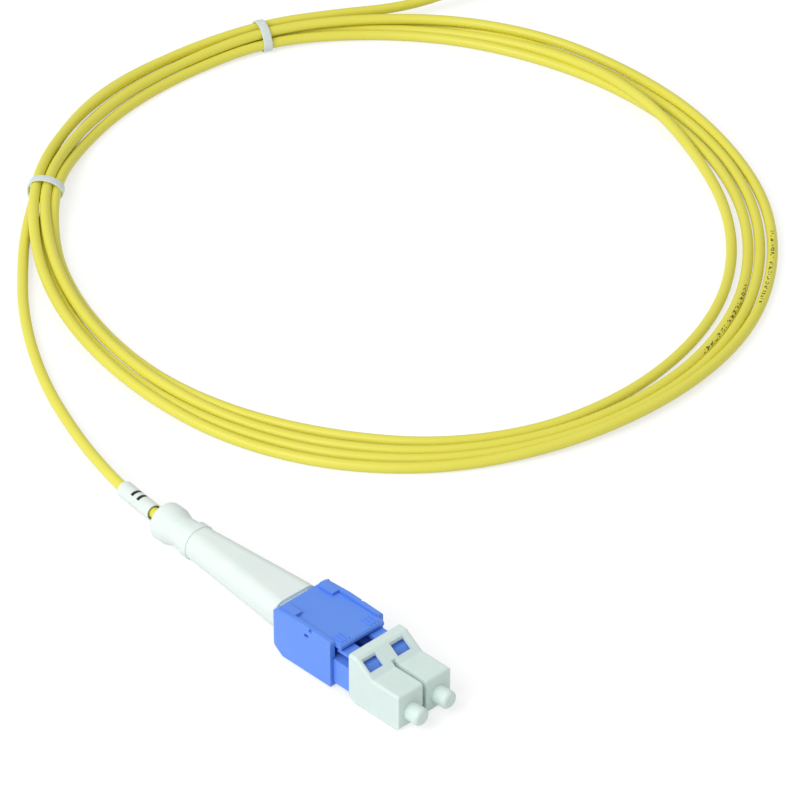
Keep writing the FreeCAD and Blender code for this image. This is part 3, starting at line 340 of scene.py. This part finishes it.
def tie_outline(centres):
    """Closed outline: middle + reach * normal + change of reach * tangent, where reach is the
    furthest strand's, blurred by a bell curve: each wave times
    exp(-(stiffness * its number)^2 / 2)."""
    middle = centres.mean(axis=0)
    look_round = np.linspace(0, 2 * np.pi, DIRECTIONS, endpoint=False)
    normal = np.column_stack([np.cos(look_round), np.sin(look_round)])
    tangent = np.column_stack([-np.sin(look_round), np.cos(look_round)])
    waves = np.fft.rfft((normal @ (centres - middle).T).max(axis=1))
    number = np.arange(len(waves))
    waves *= np.exp(-(TIE_STIFFNESS * number) ** 2 / 2)
    reach = np.fft.irfft(waves) + CABLE_DIAMETER / 2 + TIE_THICKNESS / 2 + TIE_CLEARANCE
    change = np.fft.irfft(1j * number * waves)
    outline = middle + reach[:, None] * normal + change[:, None] * tangent
    outline[:, 1] = np.maximum(outline[:, 1], TIE_THICKNESS / 2)
    return np.vstack([outline, outline[:1]])


print("left tie is", np.round(np.ptp(tie_outline(strands_at(0.0)), axis=0), 1), "mm wide and high")

# %% [markdown]
# ## Strips round the outlines
# The outline is walked in even steps and a thin rounded profile is carried along it, standing on
# the outline's own normals. The flat result is then turned into the upright plane of its tie.

# %% Tie strips


def tie_band(name, turned_to):
    """Strip round an outline: path + normal * profile thickness, and its width across the plane."""
    closed = tie_outline(strands_at(turned_to))
    way = np.concatenate([[0], np.cumsum(np.linalg.norm(np.diff(closed, axis=0), axis=1))])
    even = np.linspace(0, way[-1], PATH_POINTS, endpoint=False)
    path = np.column_stack([np.interp(even, way, closed[:, k]) for k in range(2)])
    ahead = np.roll(path, -1, axis=0) - np.roll(path, 1, axis=0)
    ahead /= np.linalg.norm(ahead, axis=1, keepdims=True)
    out = np.column_stack([ahead[:, 1], -ahead[:, 0]])
    share = np.arange(PROFILE_POINTS) / PROFILE_POINTS
    wide, thick = soft_box(share, TIE_WIDTH, TIE_THICKNESS)
    angle = math.radians(LEFT_TIE_ANGLE - turned_to)
    outward = np.array([math.cos(angle), math.sin(angle), 0.0])
    sideways = np.array([-math.sin(angle), math.cos(angle), 0.0])
    upward = np.array([0.0, 0.0, 1.0])
    flat = path[:, None, :] + out[:, None, :] * thick[None, :, None]
    points = flat[..., :1] * outward + wide[None, :, None] * sideways + flat[..., 1:] * upward
    points[..., :2] += COIL_CENTRE
    return closed_surface(name, points, even[:, None], share[None, :])


ties = {"tie_left": tie_band("tie_strip_left", 0.0),
        "tie_top": tie_band("tie_strip_top", TOP_TIE_TURN)}
for node_name, tie in ties.items():
    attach(tie, "patch_cord")
    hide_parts(node_name)
print("ties:", sorted(ties))

# %% [markdown]
# ## Marker sleeves
# Behind each boot a short white tube sits loosely on the cable and tells which end it is. It
# follows the cable's own line, so it bends as the cable does. Its wall is a rounded profile carried
# round the cable: height over the cable's middle times cos and sin of the angle, along the line's
# two normals.

# %% Marker sleeves
SLEEVE_LENGTH, SLEEVE_DIAMETER, SLEEVE_BORE, SLEEVE_EDGE = 10.1, 3.1, 2.5, 0.25
SLEEVE_A, SLEEVE_B = np.array([-70.2, 2.0, 4.75]), np.array([-70.2, 2.1, 4.75])
TRACK_STEP, LOOK_AHEAD = 0.05, 1.5
WALL_POINTS, ROUND_POINTS = 64, 48


def on_line(distance):
    """Points of the cable's line at distances along it, all in millimetres."""
    return np.column_stack([np.interp(distance, run / MM, line[:, k] / MM) for k in range(3)])


def sleeve(name, near):
    """Wall's profile turned round the cable's line: point + radius * (side * cos + top * sin)."""
    fine = np.arange(0, run[-1] / MM, TRACK_STEP)
    middle = fine[np.linalg.norm(on_line(fine) - near, axis=1).argmin()]
    wall = (SLEEVE_DIAMETER - SLEEVE_BORE) / 2
    along, thick = soft_box(np.arange(WALL_POINTS) / WALL_POINTS, SLEEVE_LENGTH, wall, SLEEVE_EDGE)
    radius = (SLEEVE_DIAMETER + SLEEVE_BORE) / 4 + thick
    chord = on_line(middle + along + LOOK_AHEAD) - on_line(middle + along - LOOK_AHEAD)
    ahead = chord / np.linalg.norm(chord, axis=1, keepdims=True)
    side = np.cross([0.0, 0.0, 1.0], ahead)
    side /= np.linalg.norm(side, axis=1, keepdims=True)
    top = np.cross(ahead, side)
    around = np.arange(ROUND_POINTS) / ROUND_POINTS
    c, s = (f(2 * np.pi * around)[None, :, None] for f in (np.cos, np.sin))
    spoke = side[:, None, :] * c + top[:, None, :] * s
    points = on_line(middle + along)[:, None, :] + radius[:, None, None] * spoke
    return closed_surface(name, points, along[:, None], around[None, :])


sleeves = {"marker_sleeve_a": sleeve("marker_tube_a", SLEEVE_A),
           "marker_sleeve_b": sleeve("marker_tube_b", at_end_b(SLEEVE_B[None, :])[0])}
for node_name, tube in sleeves.items():
    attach(tube, "patch_cord")
    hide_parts(node_name)
print("sleeves:", sorted(sleeves))

# %% [markdown]
# ## Springs
# Behind each ferrule a coil spring pushes it forward, so that two fibres meet under pressure. A
# rigid spring would be cut by the flange when the ferrule is pressed. Here each spring is made anew
# as one rigid coil of wire. The first and last turns lie close, as on a real compression spring.
# Place and length come from the CAD spring's box, whose longest side is the axis.

# %% Springs
SPRING_WIRE, SPRING_TURNS = 0.25, 7
TURN_STEPS, WIRE_SIDES = 24, 8


def coil_spring(name, node_name):
    """Wire carried along a helix: along * advance + (outer radius - wire / 2) * (cos, sin) of the
    turn, and round that line wire / 2 * (outward * cos + along * sin). The advance is one wire in
    the first turn and in the last one. Also gives the middles of both ends."""
    low, high = (np.array(corner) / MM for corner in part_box(node_name))
    axis = np.argmax(high - low)
    along, one, two = (np.roll(np.eye(3), -axis, axis=0)[k] for k in range(3))
    radius = ((high - low) @ (one + two) / 2 - SPRING_WIRE) / 2
    turn = np.linspace(0, 2 * np.pi * SPRING_TURNS, SPRING_TURNS * TURN_STEPS + 1)
    span = (high - low)[axis] - SPRING_WIRE
    advance = np.interp(turn / (2 * np.pi), [0, 1, SPRING_TURNS - 1, SPRING_TURNS],
                        [0, SPRING_WIRE, span - SPRING_WIRE, span]) - span / 2
    outward = np.cos(turn)[:, None] * one + np.sin(turn)[:, None] * two
    middle = (low + high) / 2 + advance[:, None] * along + radius * outward
    share = np.arange(WIRE_SIDES) / WIRE_SIDES
    c, s = (f(2 * np.pi * share)[None, :, None] for f in (np.cos, np.sin))
    points = middle[:, None, :] + SPRING_WIRE / 2 * (outward[:, None, :] * c + along * s)
    rows, columns = points.shape[:2]
    number = np.arange(rows * columns).reshape(rows, columns)
    beside = np.roll(number, -1, axis=1)
    walls = np.stack([number[:-1], number[1:], beside[1:], beside[:-1]], axis=-1).reshape(-1, 4)
    mesh = bpy.data.meshes.new(name)
    mesh.from_pydata((points.reshape(-1, 3) * MM).tolist(), [],
                     [*walls.tolist(), number[0].tolist(), number[-1, ::-1].tolist()])
    mesh.polygons.foreach_set("use_smooth", np.arange(len(walls) + 2) < len(walls))
    made = bpy.data.objects.new(name, mesh)
    scene.collection.objects.link(made)
    centres = (middle - radius * outward) * MM
    return made, tuple(centres[0]), tuple(centres[-1])


print("springs get", SPRING_TURNS, "turns of", SPRING_WIRE, "mm wire")

# %% [markdown]
# ## Springs in place
# Each spring takes the place of its CAD node. The middles of its two ends come back from the helper
# but are not used.

# %% Springs in place
springs = {}
for end, side in (("a", "left"), ("a", "right"), ("b", "left"), ("b", "right")):
    node_name = f"spring_{end}_{side}"
    spring, rear, front = coil_spring(f"coil_{end}_{side}", node_name)
    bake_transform(spring)
    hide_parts(node_name)
    springs[node_name] = spring
print("springs:", len(springs), "of", len(spring.data.polygons), "faces each")

# %% [markdown]
# ## Colours and nodes
# Colours are noted as a designer notes them, as sRGB hex values, but shaders reckon in linear
# light. One function converts. A second one adds a node, sets what is given as a value and links
# what is given as a socket, which is all that a node tree needs.

# %% Colour and node helpers


def to_linear(hex_colour):
    """sRGB to linear light: c / 12.92 up to 0.04045, else ((c + 0.055) / 1.055)^2.4."""
    c = np.array([int(hex_colour[k:k + 2], 16) for k in (1, 3, 5)]) / 255
    return (*np.where(c <= 0.04045, c / 12.92, ((c + 0.055) / 1.055) ** 2.4), 1.0)


def add_node(tree, kind, inputs, **settings):
    """Adds a node with its settings; an input is a value to set or a node's socket to link."""
    made = tree.nodes.new(kind)
    for key, value in settings.items():
        setattr(made, key, value)
    for key, value in inputs.items():
        if isinstance(value, bpy.types.NodeSocket):
            tree.links.new(value, made.inputs[key])
        else:
            made.inputs[key].default_value = value
    return made


def start_finish(name):
    """An empty material of that name and its node tree."""
    made = bpy.data.materials.new(name)
    made.use_nodes = True
    made.node_tree.nodes.clear()
    return made, made.node_tree


print("middle grey in linear light:", np.round(to_linear("#808080"), 3))

# %% [markdown]
# ## Jacket colour
# The jacket is soft PVC, squeezed round the yarn and fibres in an extruder. It is smooth and satin:
# the light makes a broad, weak gleam along each strand. Its yellow drifts a little along the
# length.

# %% Jacket colour
DRIFT_SIZE, SKIN_SIZE = 30, 0.7
jacket, tree = start_finish("jacket_pvc_extruded")
place = add_node(tree, "ShaderNodeTexCoord", {})
drift = add_node(tree, "ShaderNodeTexNoise", {
    "Vector": place.outputs["Object"], "Scale": 1 / (DRIFT_SIZE * MM), "Detail": 2})
skin = add_node(tree, "ShaderNodeTexNoise", {
    "Vector": place.outputs["Object"], "Scale": 1 / (SKIN_SIZE * MM), "Detail": 3})
yellow = add_node(tree, "ShaderNodeMix", {
    0: drift.outputs["Fac"], 6: to_linear("#E4DC46"), 7: to_linear("#F0EA60")}, data_type="RGBA")
print(jacket.name, "drifts over", DRIFT_SIZE, "mm")

# %% [markdown]
# ## Jacket print: dots
# A line printer leaves rows of small dark dots on one side of a real jacket. The cable's UV map
# gives the share along it and the share round it, so a grid of cells is laid over both, and a cell
# is a dot or bare by chance. A bare strip follows each sign. Winding turns the cable slowly about
# itself, so the printed side creeps round it: the share round is shifted by a share along.

# %% Jacket dots
CABLE_LENGTH = 2000.0
DOT_LENGTH, DOT_HEIGHT, BARE_CHANCE = 0.42, 0.3, 0.52
SIGN_PITCH, SIGN_SHARE = 1.5, 0.72
PRINT_TURN, PRINT_SIDE = -0.61, 0.81
flat = add_node(tree, "ShaderNodeSeparateXYZ", {0: place.outputs["UV"]})
far = add_node(tree, "ShaderNodeMath", {
    0: flat.outputs[0], 1: CABLE_LENGTH / DOT_LENGTH}, operation="MULTIPLY")
column = add_node(tree, "ShaderNodeMath", {0: far.outputs[0]}, operation="FLOOR")
creep = add_node(tree, "ShaderNodeMath", {
    0: flat.outputs[0], 1: PRINT_TURN, 2: PRINT_SIDE}, operation="MULTIPLY_ADD")
shifted = add_node(tree, "ShaderNodeMath", {
    0: flat.outputs[1], 1: creep.outputs[0]}, operation="ADD")
share_round = add_node(tree, "ShaderNodeMath", {0: shifted.outputs[0]}, operation="FRACT")
tall = add_node(tree, "ShaderNodeMath", {
    0: share_round.outputs[0], 1: math.pi * CABLE_DIAMETER / DOT_HEIGHT}, operation="MULTIPLY")
row = add_node(tree, "ShaderNodeMath", {0: tall.outputs[0]}, operation="FLOOR")
cell = add_node(tree, "ShaderNodeCombineXYZ", {0: column.outputs[0], 1: row.outputs[0]})
chance = add_node(tree, "ShaderNodeTexWhiteNoise", {
    "Vector": cell.outputs[0]}, noise_dimensions="2D")
dot = add_node(tree, "ShaderNodeMath", {
    0: chance.outputs["Value"], 1: BARE_CHANCE}, operation="GREATER_THAN")
sign_run = add_node(tree, "ShaderNodeMath", {
    0: flat.outputs[0], 1: CABLE_LENGTH / SIGN_PITCH}, operation="MULTIPLY")
sign_part = add_node(tree, "ShaderNodeMath", {0: sign_run.outputs[0]}, operation="FRACT")
sign = add_node(tree, "ShaderNodeMath", {
    0: sign_part.outputs[0], 1: SIGN_SHARE}, operation="LESS_THAN")
signs = add_node(tree, "ShaderNodeMath", {
    0: dot.outputs[0], 1: sign.outputs[0]}, operation="MULTIPLY")
print("dots of", DOT_LENGTH, "by", DOT_HEIGHT, "mm in signs", SIGN_PITCH, "mm apart")

# %% [markdown]
# ## Jacket print: groups
# The signs stand in groups with long bare stretches between them, in a narrow band on the printed
# side. Here they are rubbed, and the first half of the cord is bare.

# %% Jacket print and shader
PRINT_REPEAT, PRINT_START, PRINT_SHARE = 396.0, 0.051, 0.057
PRINT_WIDTH, PRINT_FROM = 0.11, 0.5
SKIN_DEPTH = 0.05
text_run = add_node(tree, "ShaderNodeMath", {
    0: flat.outputs[0], 1: CABLE_LENGTH / PRINT_REPEAT, 2: -PRINT_START}, operation="MULTIPLY_ADD")
text_part = add_node(tree, "ShaderNodeMath", {0: text_run.outputs[0]}, operation="FRACT")
text = add_node(tree, "ShaderNodeMath", {
    0: text_part.outputs[0], 1: PRINT_SHARE}, operation="LESS_THAN")
band = add_node(tree, "ShaderNodeMath", {
    0: share_round.outputs[0], 1: 0.5, 2: PRINT_WIDTH / 2}, operation="COMPARE")
group = add_node(tree, "ShaderNodeMath", {
    0: text.outputs[0], 1: band.outputs[0]}, operation="MULTIPLY")
later = add_node(tree, "ShaderNodeMath", {
    0: flat.outputs[0], 1: PRINT_FROM}, operation="GREATER_THAN")
printed = add_node(tree, "ShaderNodeMath", {
    0: group.outputs[0], 1: later.outputs[0]}, operation="MULTIPLY")
ink = add_node(tree, "ShaderNodeMath", {
    0: signs.outputs[0], 1: printed.outputs[0]}, operation="MULTIPLY")
colour = add_node(tree, "ShaderNodeMix", {
    0: ink.outputs[0], 6: yellow.outputs[2], 7: to_linear("#66642A")}, data_type="RGBA")
gloss = add_node(tree, "ShaderNodeMapRange", {0: skin.outputs["Fac"], 3: 0.40, 4: 0.52})
relief = add_node(tree, "ShaderNodeBump", {
    "Height": skin.outputs["Fac"], "Strength": 0.12, "Distance": SKIN_DEPTH * MM})
shader = add_node(tree, "ShaderNodeBsdfPrincipled", {
    "Base Color": colour.outputs[2], "Roughness": gloss.outputs[0], "IOR": 1.53,
    "Normal": relief.outputs[0]})
add_node(tree, "ShaderNodeOutputMaterial", {0: shader.outputs[0]})
curve.materials.append(jacket)
print(jacket.name, len(tree.nodes), "nodes")

# %% [markdown]
# ## Moulded plastics
# Boot, dust cap and plugs are injection moulded. A mould's steel is eroded by sparks to a fine matt
# grain, which spreads reflections and leaves a faint mottle. The grain is near 0.1 mm on the real
# part; it is drawn at 0.3 mm, since a finer one would be lost between pixels. The white pieces let
# some light sink in and glow back. The buffer round each fibre is extruded nylon and gets the same
# finish, only smoother.

# %% Moulded finishes
GRAIN_SIZE, GRAIN_DEPTH, FLOW_SIZE = 0.3, 0.03, 6
GLOSS_SPREAD, GLOW_DEPTH = 0.07, 1.2


def moulded(name, dark, pale, rough, ior, glow, depth):
    """Spark-eroded plastic: a slow drift between two tones, fine grain in gloss and relief."""
    made, tree = start_finish(name)
    place = add_node(tree, "ShaderNodeTexCoord", {})
    flow = add_node(tree, "ShaderNodeTexNoise", {
        "Vector": place.outputs["Object"], "Scale": 1 / (FLOW_SIZE * MM), "Detail": 2})
    grain = add_node(tree, "ShaderNodeTexNoise", {
        "Vector": place.outputs["Object"], "Scale": 1 / (GRAIN_SIZE * MM), "Detail": 2})
    tone = add_node(tree, "ShaderNodeMix", {
        0: flow.outputs["Fac"], 6: to_linear(dark), 7: to_linear(pale)}, data_type="RGBA")
    gloss = add_node(tree, "ShaderNodeMapRange", {
        0: grain.outputs["Fac"], 3: rough - GLOSS_SPREAD, 4: rough + GLOSS_SPREAD})
    relief = add_node(tree, "ShaderNodeBump", {
        "Height": grain.outputs["Fac"], "Strength": depth, "Distance": GRAIN_DEPTH * MM})
    shader = add_node(tree, "ShaderNodeBsdfPrincipled", {
        "Base Color": tone.outputs[2], "Roughness": gloss.outputs[0], "IOR": ior,
        "Normal": relief.outputs[0], "Subsurface Weight": glow,
        "Subsurface Scale": GLOW_DEPTH * MM, "Subsurface Radius": (1.0, 1.0, 0.9)})
    add_node(tree, "ShaderNodeOutputMaterial", {0: shader.outputs[0]})
    print(name, dark, pale)
    return made


plug_blue = moulded("plug_pbt_moulded_blue", "#5C8FF0", "#6698F6",
                    rough=0.42, ior=1.55, glow=0.0, depth=0.25)
cap_white = moulded("cap_polypropylene_moulded_white", "#D8EBE5", "#E0F2EC",
                    rough=0.40, ior=1.49, glow=0.3, depth=0.2)
boot_white = moulded("boot_rubbery_tpe_moulded_white", "#E4F0EB", "#ECF6F1",
                     rough=0.55, ior=1.50, glow=0.25, depth=0.3)
buffer_white = moulded("buffer_nylon_extruded_white", "#E8E8E0", "#F0F0EA",
                       rough=0.45, ior=1.53, glow=0.2, depth=0.1)

# %% [markdown]
# ## Marker print
# The sleeve is a tube of white plastic with a black mark on top that tells the cord's two ends
# apart. Both sleeves get the same mark here, a pair of short bars. They are drawn from the sleeve's
# own UV map, which holds millimetres along it.

# %% Marker finish
BAR_LENGTH, BAR_PITCH, BAR_SHIFT = 0.8, 1.9, 0.3
TOP_SHARE, BAR_SHARE = 0.25, 0.11
MOTTLE_SIZE = 2
marker, tree = start_finish("marker_polyolefin_tube_printed")
place = add_node(tree, "ShaderNodeTexCoord", {})
flat = add_node(tree, "ShaderNodeSeparateXYZ", {0: place.outputs["UV"]})
shift = add_node(tree, "ShaderNodeMath", {0: flat.outputs[0], 1: BAR_SHIFT}, operation="ADD")
apart = add_node(tree, "ShaderNodeMath", {0: shift.outputs[0]}, operation="ABSOLUTE")
bars = add_node(tree, "ShaderNodeMath", {
    0: apart.outputs[0], 1: BAR_PITCH / 2, 2: BAR_LENGTH / 2}, operation="COMPARE")
upper = add_node(tree, "ShaderNodeMath", {
    0: flat.outputs[1], 1: TOP_SHARE, 2: BAR_SHARE}, operation="COMPARE")
mark = add_node(tree, "ShaderNodeMath", {
    0: bars.outputs[0], 1: upper.outputs[0]}, operation="MULTIPLY")
flow = add_node(tree, "ShaderNodeTexNoise", {
    "Vector": place.outputs["Object"], "Scale": 1 / (MOTTLE_SIZE * MM), "Detail": 2})
white = add_node(tree, "ShaderNodeMix", {
    0: flow.outputs["Fac"], 6: to_linear("#E2EEE8"), 7: to_linear("#EEF6F2")}, data_type="RGBA")
tone = add_node(tree, "ShaderNodeMix", {
    0: mark.outputs[0], 6: white.outputs[2], 7: to_linear("#1C2020")}, data_type="RGBA")
gloss = add_node(tree, "ShaderNodeMapRange", {0: flow.outputs["Fac"], 3: 0.42, 4: 0.55})
shader = add_node(tree, "ShaderNodeBsdfPrincipled", {
    "Base Color": tone.outputs[2], "Roughness": gloss.outputs[0], "IOR": 1.49})
add_node(tree, "ShaderNodeOutputMaterial", {0: shader.outputs[0]})
for tube in sleeves.values():
    tube.data.materials.append(marker)
print(marker.name)

# %% [markdown]
# ## Tie strip
# The tie is clear plastic film, milky where it is stretched. It lets light through and gleams, so
# the strands shine through as a tint. Faint streaks along the strip come from drawing the film.

# %% Tie finish
STREAK_SCALE = (0.2, 24.0, 1.0)
tie_clear, tree = start_finish("tie_clear_film_drawn")
place = add_node(tree, "ShaderNodeTexCoord", {})
squeeze = add_node(tree, "ShaderNodeMapping", {0: place.outputs["UV"], 3: STREAK_SCALE})
streak = add_node(tree, "ShaderNodeTexNoise", {
    "Vector": squeeze.outputs[0], "Scale": 1.0, "Detail": 2})
milk = add_node(tree, "ShaderNodeMix", {
    0: streak.outputs["Fac"], 6: to_linear("#E8F6F5"), 7: to_linear("#F8FEFD")}, data_type="RGBA")
gloss = add_node(tree, "ShaderNodeMapRange", {0: streak.outputs["Fac"], 3: 0.18, 4: 0.34})
shader = add_node(tree, "ShaderNodeBsdfPrincipled", {
    "Base Color": milk.outputs[2], "Roughness": gloss.outputs[0], "IOR": 1.5,
    "Transmission Weight": 0.2})
add_node(tree, "ShaderNodeOutputMaterial", {0: shader.outputs[0]})
for tie in ties.values():
    tie.data.materials.append(tie_clear)
print(tie_clear.name)

# %% [markdown]
# ## Ceramic
# The ferrules are zirconia, ground and polished: a dense white ceramic with a hard gleam and a high
# IOR. A faint cloud moves its tone and gloss, since it is pressed from powder and fired.

# %% Ceramic finish
CLOUD_SIZE = 0.8
ceramic, tree = start_finish("ferrule_zirconia_polished")
place = add_node(tree, "ShaderNodeTexCoord", {})
cloud = add_node(tree, "ShaderNodeTexNoise", {
    "Vector": place.outputs["Object"], "Scale": 1 / (CLOUD_SIZE * MM), "Detail": 3})
tone = add_node(tree, "ShaderNodeMix", {
    0: cloud.outputs["Fac"], 6: to_linear("#E9E6DC"), 7: to_linear("#F3F1EA")}, data_type="RGBA")
gloss = add_node(tree, "ShaderNodeMapRange", {0: cloud.outputs["Fac"], 3: 0.08, 4: 0.16})
shader = add_node(tree, "ShaderNodeBsdfPrincipled", {
    "Base Color": tone.outputs[2], "Roughness": gloss.outputs[0], "IOR": 2.15})
add_node(tree, "ShaderNodeOutputMaterial", {0: shader.outputs[0]})
print(ceramic.name)

# %% [markdown]
# ## Metal
# Flanges, stops, posts and sleeves are turned metal, and a lathe leaves fine rings round the axis.
# The rings are 0.08 mm apart on a real part and are drawn at 0.25 mm. A wire drawn through a die
# has marks too, and the springs get the same rings in a darker steel. End B lies a quarter turn
# round, so its rings are turned with it.

# %% Metal finishes
LATHE_RING, RING_DEPTH, RING_SPREAD = 0.25, 0.02, 0.12
WAVE_FACTOR = 20  # the wave texture multiplies its scale by this


def turned_metal(name, dark, pale, rough, quarter_turns):
    """Lathe-turned metal: rings along the part's own axis move tone, gloss and relief."""
    made, tree = start_finish(name)
    place = add_node(tree, "ShaderNodeTexCoord", {})
    axis = add_node(tree, "ShaderNodeMapping", {
        0: place.outputs["Object"], 2: (0, 0, -quarter_turns * math.pi / 2)})
    per_metre = 2 * math.pi / (WAVE_FACTOR * LATHE_RING * MM)
    rings = add_node(tree, "ShaderNodeTexWave", {
        "Vector": axis.outputs[0], "Scale": per_metre, "Distortion": 0.6, "Detail": 1},
        bands_direction="X")
    tone = add_node(tree, "ShaderNodeMix", {
        0: rings.outputs["Fac"], 6: to_linear(dark), 7: to_linear(pale)}, data_type="RGBA")
    gloss = add_node(tree, "ShaderNodeMapRange", {
        0: rings.outputs["Fac"], 3: rough, 4: rough + RING_SPREAD})
    relief = add_node(tree, "ShaderNodeBump", {
        "Height": rings.outputs["Fac"], "Strength": 0.2, "Distance": RING_DEPTH * MM})
    shader = add_node(tree, "ShaderNodeBsdfPrincipled", {
        "Base Color": tone.outputs[2], "Metallic": 1.0, "Roughness": gloss.outputs[0],
        "Normal": relief.outputs[0]})
    add_node(tree, "ShaderNodeOutputMaterial", {0: shader.outputs[0]})
    print(name)
    return made


QUARTER_TURNS = {"a": 0, "b": 1}
nickel, spring_steel = {}, {}
for end, quarters in QUARTER_TURNS.items():
    nickel[end] = turned_metal(
        f"nickel_plated_brass_turned_{end}", "#B9B6AE", "#D6D4CE", rough=0.22,
        quarter_turns=quarters)
for end, quarters in QUARTER_TURNS.items():
    spring_steel[end] = turned_metal(
        f"spring_steel_drawn_{end}", "#8F9296", "#ABAEB2", rough=0.28, quarter_turns=quarters)
for node_name, spring in springs.items():
    spring.data.materials.append(spring_steel[node_name.split("_")[1]])

# %% [markdown]
# ## Dressing the CAD pieces
# The rigid pieces keep their CAD shape. Each one's material slot gets the finish of the real piece,
# picked by the piece's name.

# %% Dress the rigid pieces
FINISHES = {"dust_cap": cap_white, "plug_frame": plug_blue, "housing": plug_blue,
            "pull_plate": plug_blue, "boot": boot_white, "buffered_fibre": buffer_white,
            "ferrule_flange": nickel, "rear_stop": nickel, "back_post": nickel,
            "crimp_sleeve": nickel, "ferrule": ceramic}
dressed = 0
for node_name, node_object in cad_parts.items():
    kind = max((k for k in FINISHES if node_name.startswith(k)), key=len, default=None)
    if kind is None:
        continue
    finish = FINISHES[kind]
    if isinstance(finish, dict):
        finish = finish["b" if "_b" in node_name[len(kind):] else "a"]
    for slot in node_object.material_slots:
        slot.material = finish
    dressed += 1
print("dressed", dressed, "of", len(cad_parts), "CAD nodes")

# %% [markdown]
# ## Floor
# The cord lies on a white table. For the camera the floor adds a little light of its own, so that
# it reads as white while the shadow of the cord stays on it; for the light that bounces about, it
# is plain pale paint.

# %% Floor
FLOOR_REACH, FLOOR_DROP = 2.0, 0.02  # metres, millimetres
PAINT_TONE, SEEN_TONE, SEEN_SHINE = 0.8, 0.4, 0.68
corners = FLOOR_REACH * np.array([(-1, -1, 0), (1, -1, 0), (1, 1, 0), (-1, 1, 0)])
floor_mesh = bpy.data.meshes.new("floor")
floor_mesh.from_pydata(corners.tolist(), [], [(0, 1, 2, 3)])
floor = bpy.data.objects.new("floor", floor_mesh)
floor.location.z = -FLOOR_DROP * MM
scene.collection.objects.link(floor)
paint, tree = start_finish("table_matt_paint")
rays = add_node(tree, "ShaderNodeLightPath", {})
glossy = add_node(tree, "ShaderNodeMath", {
    0: rays.outputs["Is Camera Ray"], 1: rays.outputs["Is Glossy Ray"]}, operation="MAXIMUM")
seen = add_node(tree, "ShaderNodeMath", {
    0: glossy.outputs[0], 1: rays.outputs["Is Transmission Ray"]}, operation="MAXIMUM")
plain = add_node(tree, "ShaderNodeBsdfDiffuse", {"Color": (PAINT_TONE, PAINT_TONE, PAINT_TONE, 1)})
half = add_node(tree, "ShaderNodeBsdfDiffuse", {"Color": (SEEN_TONE, SEEN_TONE, SEEN_TONE, 1)})
shine = add_node(tree, "ShaderNodeEmission", {"Color": (1, 1, 1, 1), "Strength": SEEN_SHINE})
white = add_node(tree, "ShaderNodeAddShader", {0: half.outputs[0], 1: shine.outputs[0]})
choice = add_node(tree, "ShaderNodeMixShader", {
    0: seen.outputs[0], 1: plain.outputs[0], 2: white.outputs[0]})
add_node(tree, "ShaderNodeOutputMaterial", {0: choice.outputs[0]})
floor_mesh.materials.append(paint)
print("floor is", 2 * FLOOR_REACH, "m wide")

# %% [markdown]
# ## Surround
# A white room lights the cord from all sides at a little over half strength, and the camera sees it
# as pure white.

# %% Surround
FILL_LEVEL, BACKDROP_LEVEL = 0.57, 1.0
scene.view_settings.view_transform = "Standard"
world = bpy.data.worlds.new("surround")
scene.world = world
world.use_nodes = True
world.node_tree.nodes.clear()
tree = world.node_tree
rays = add_node(tree, "ShaderNodeLightPath", {})
fill = add_node(tree, "ShaderNodeBackground", {"Color": (1, 1, 1, 1), "Strength": FILL_LEVEL})
backdrop = add_node(tree, "ShaderNodeBackground", {
    "Color": (1, 1, 1, 1), "Strength": BACKDROP_LEVEL})
choice = add_node(tree, "ShaderNodeMixShader", {
    0: rays.outputs["Is Camera Ray"], 1: fill.outputs[0], 2: backdrop.outputs[0]})
add_node(tree, "ShaderNodeOutputWorld", {0: choice.outputs[0]})
print("surround fills at", FILL_LEVEL)

# %% [markdown]
# ## Lamp
# One large soft lamp stands to the left of the camera and is aimed at the middle of the cord. Its
# size keeps the gleams broad and the shadow weak. Its power follows from the level that is wanted
# on the cord and its distance.

# %% Lamp
LAMP_WAY = np.array([-0.05, -0.735, 0.675])
LAMP_AIM = np.array([-0.07, 0.06, 0.0])
LAMP_DISTANCE, LAMP_SIZE, LAMP_LEVEL = 1.6, 1.1, 0.60
lamp = bpy.data.objects.new("soft_lamp", bpy.data.lights.new("soft_lamp", "AREA"))
lamp.data.shape = "SQUARE"
lamp.data.size = LAMP_SIZE
lamp.data.energy = math.pi ** 2 * LAMP_LEVEL * LAMP_DISTANCE ** 2
back = LAMP_WAY / np.linalg.norm(LAMP_WAY)
side = np.cross([0.0, 0.0, 1.0], back)
side /= np.linalg.norm(side)
stand = np.eye(4)
stand[:3, :3] = np.column_stack([side, np.cross(back, side), back])
stand[:3, 3] = LAMP_AIM + back * LAMP_DISTANCE
lamp.matrix_world = stand.T
scene.collection.objects.link(lamp)
print("lamp", round(lamp.data.energy, 1), "W")
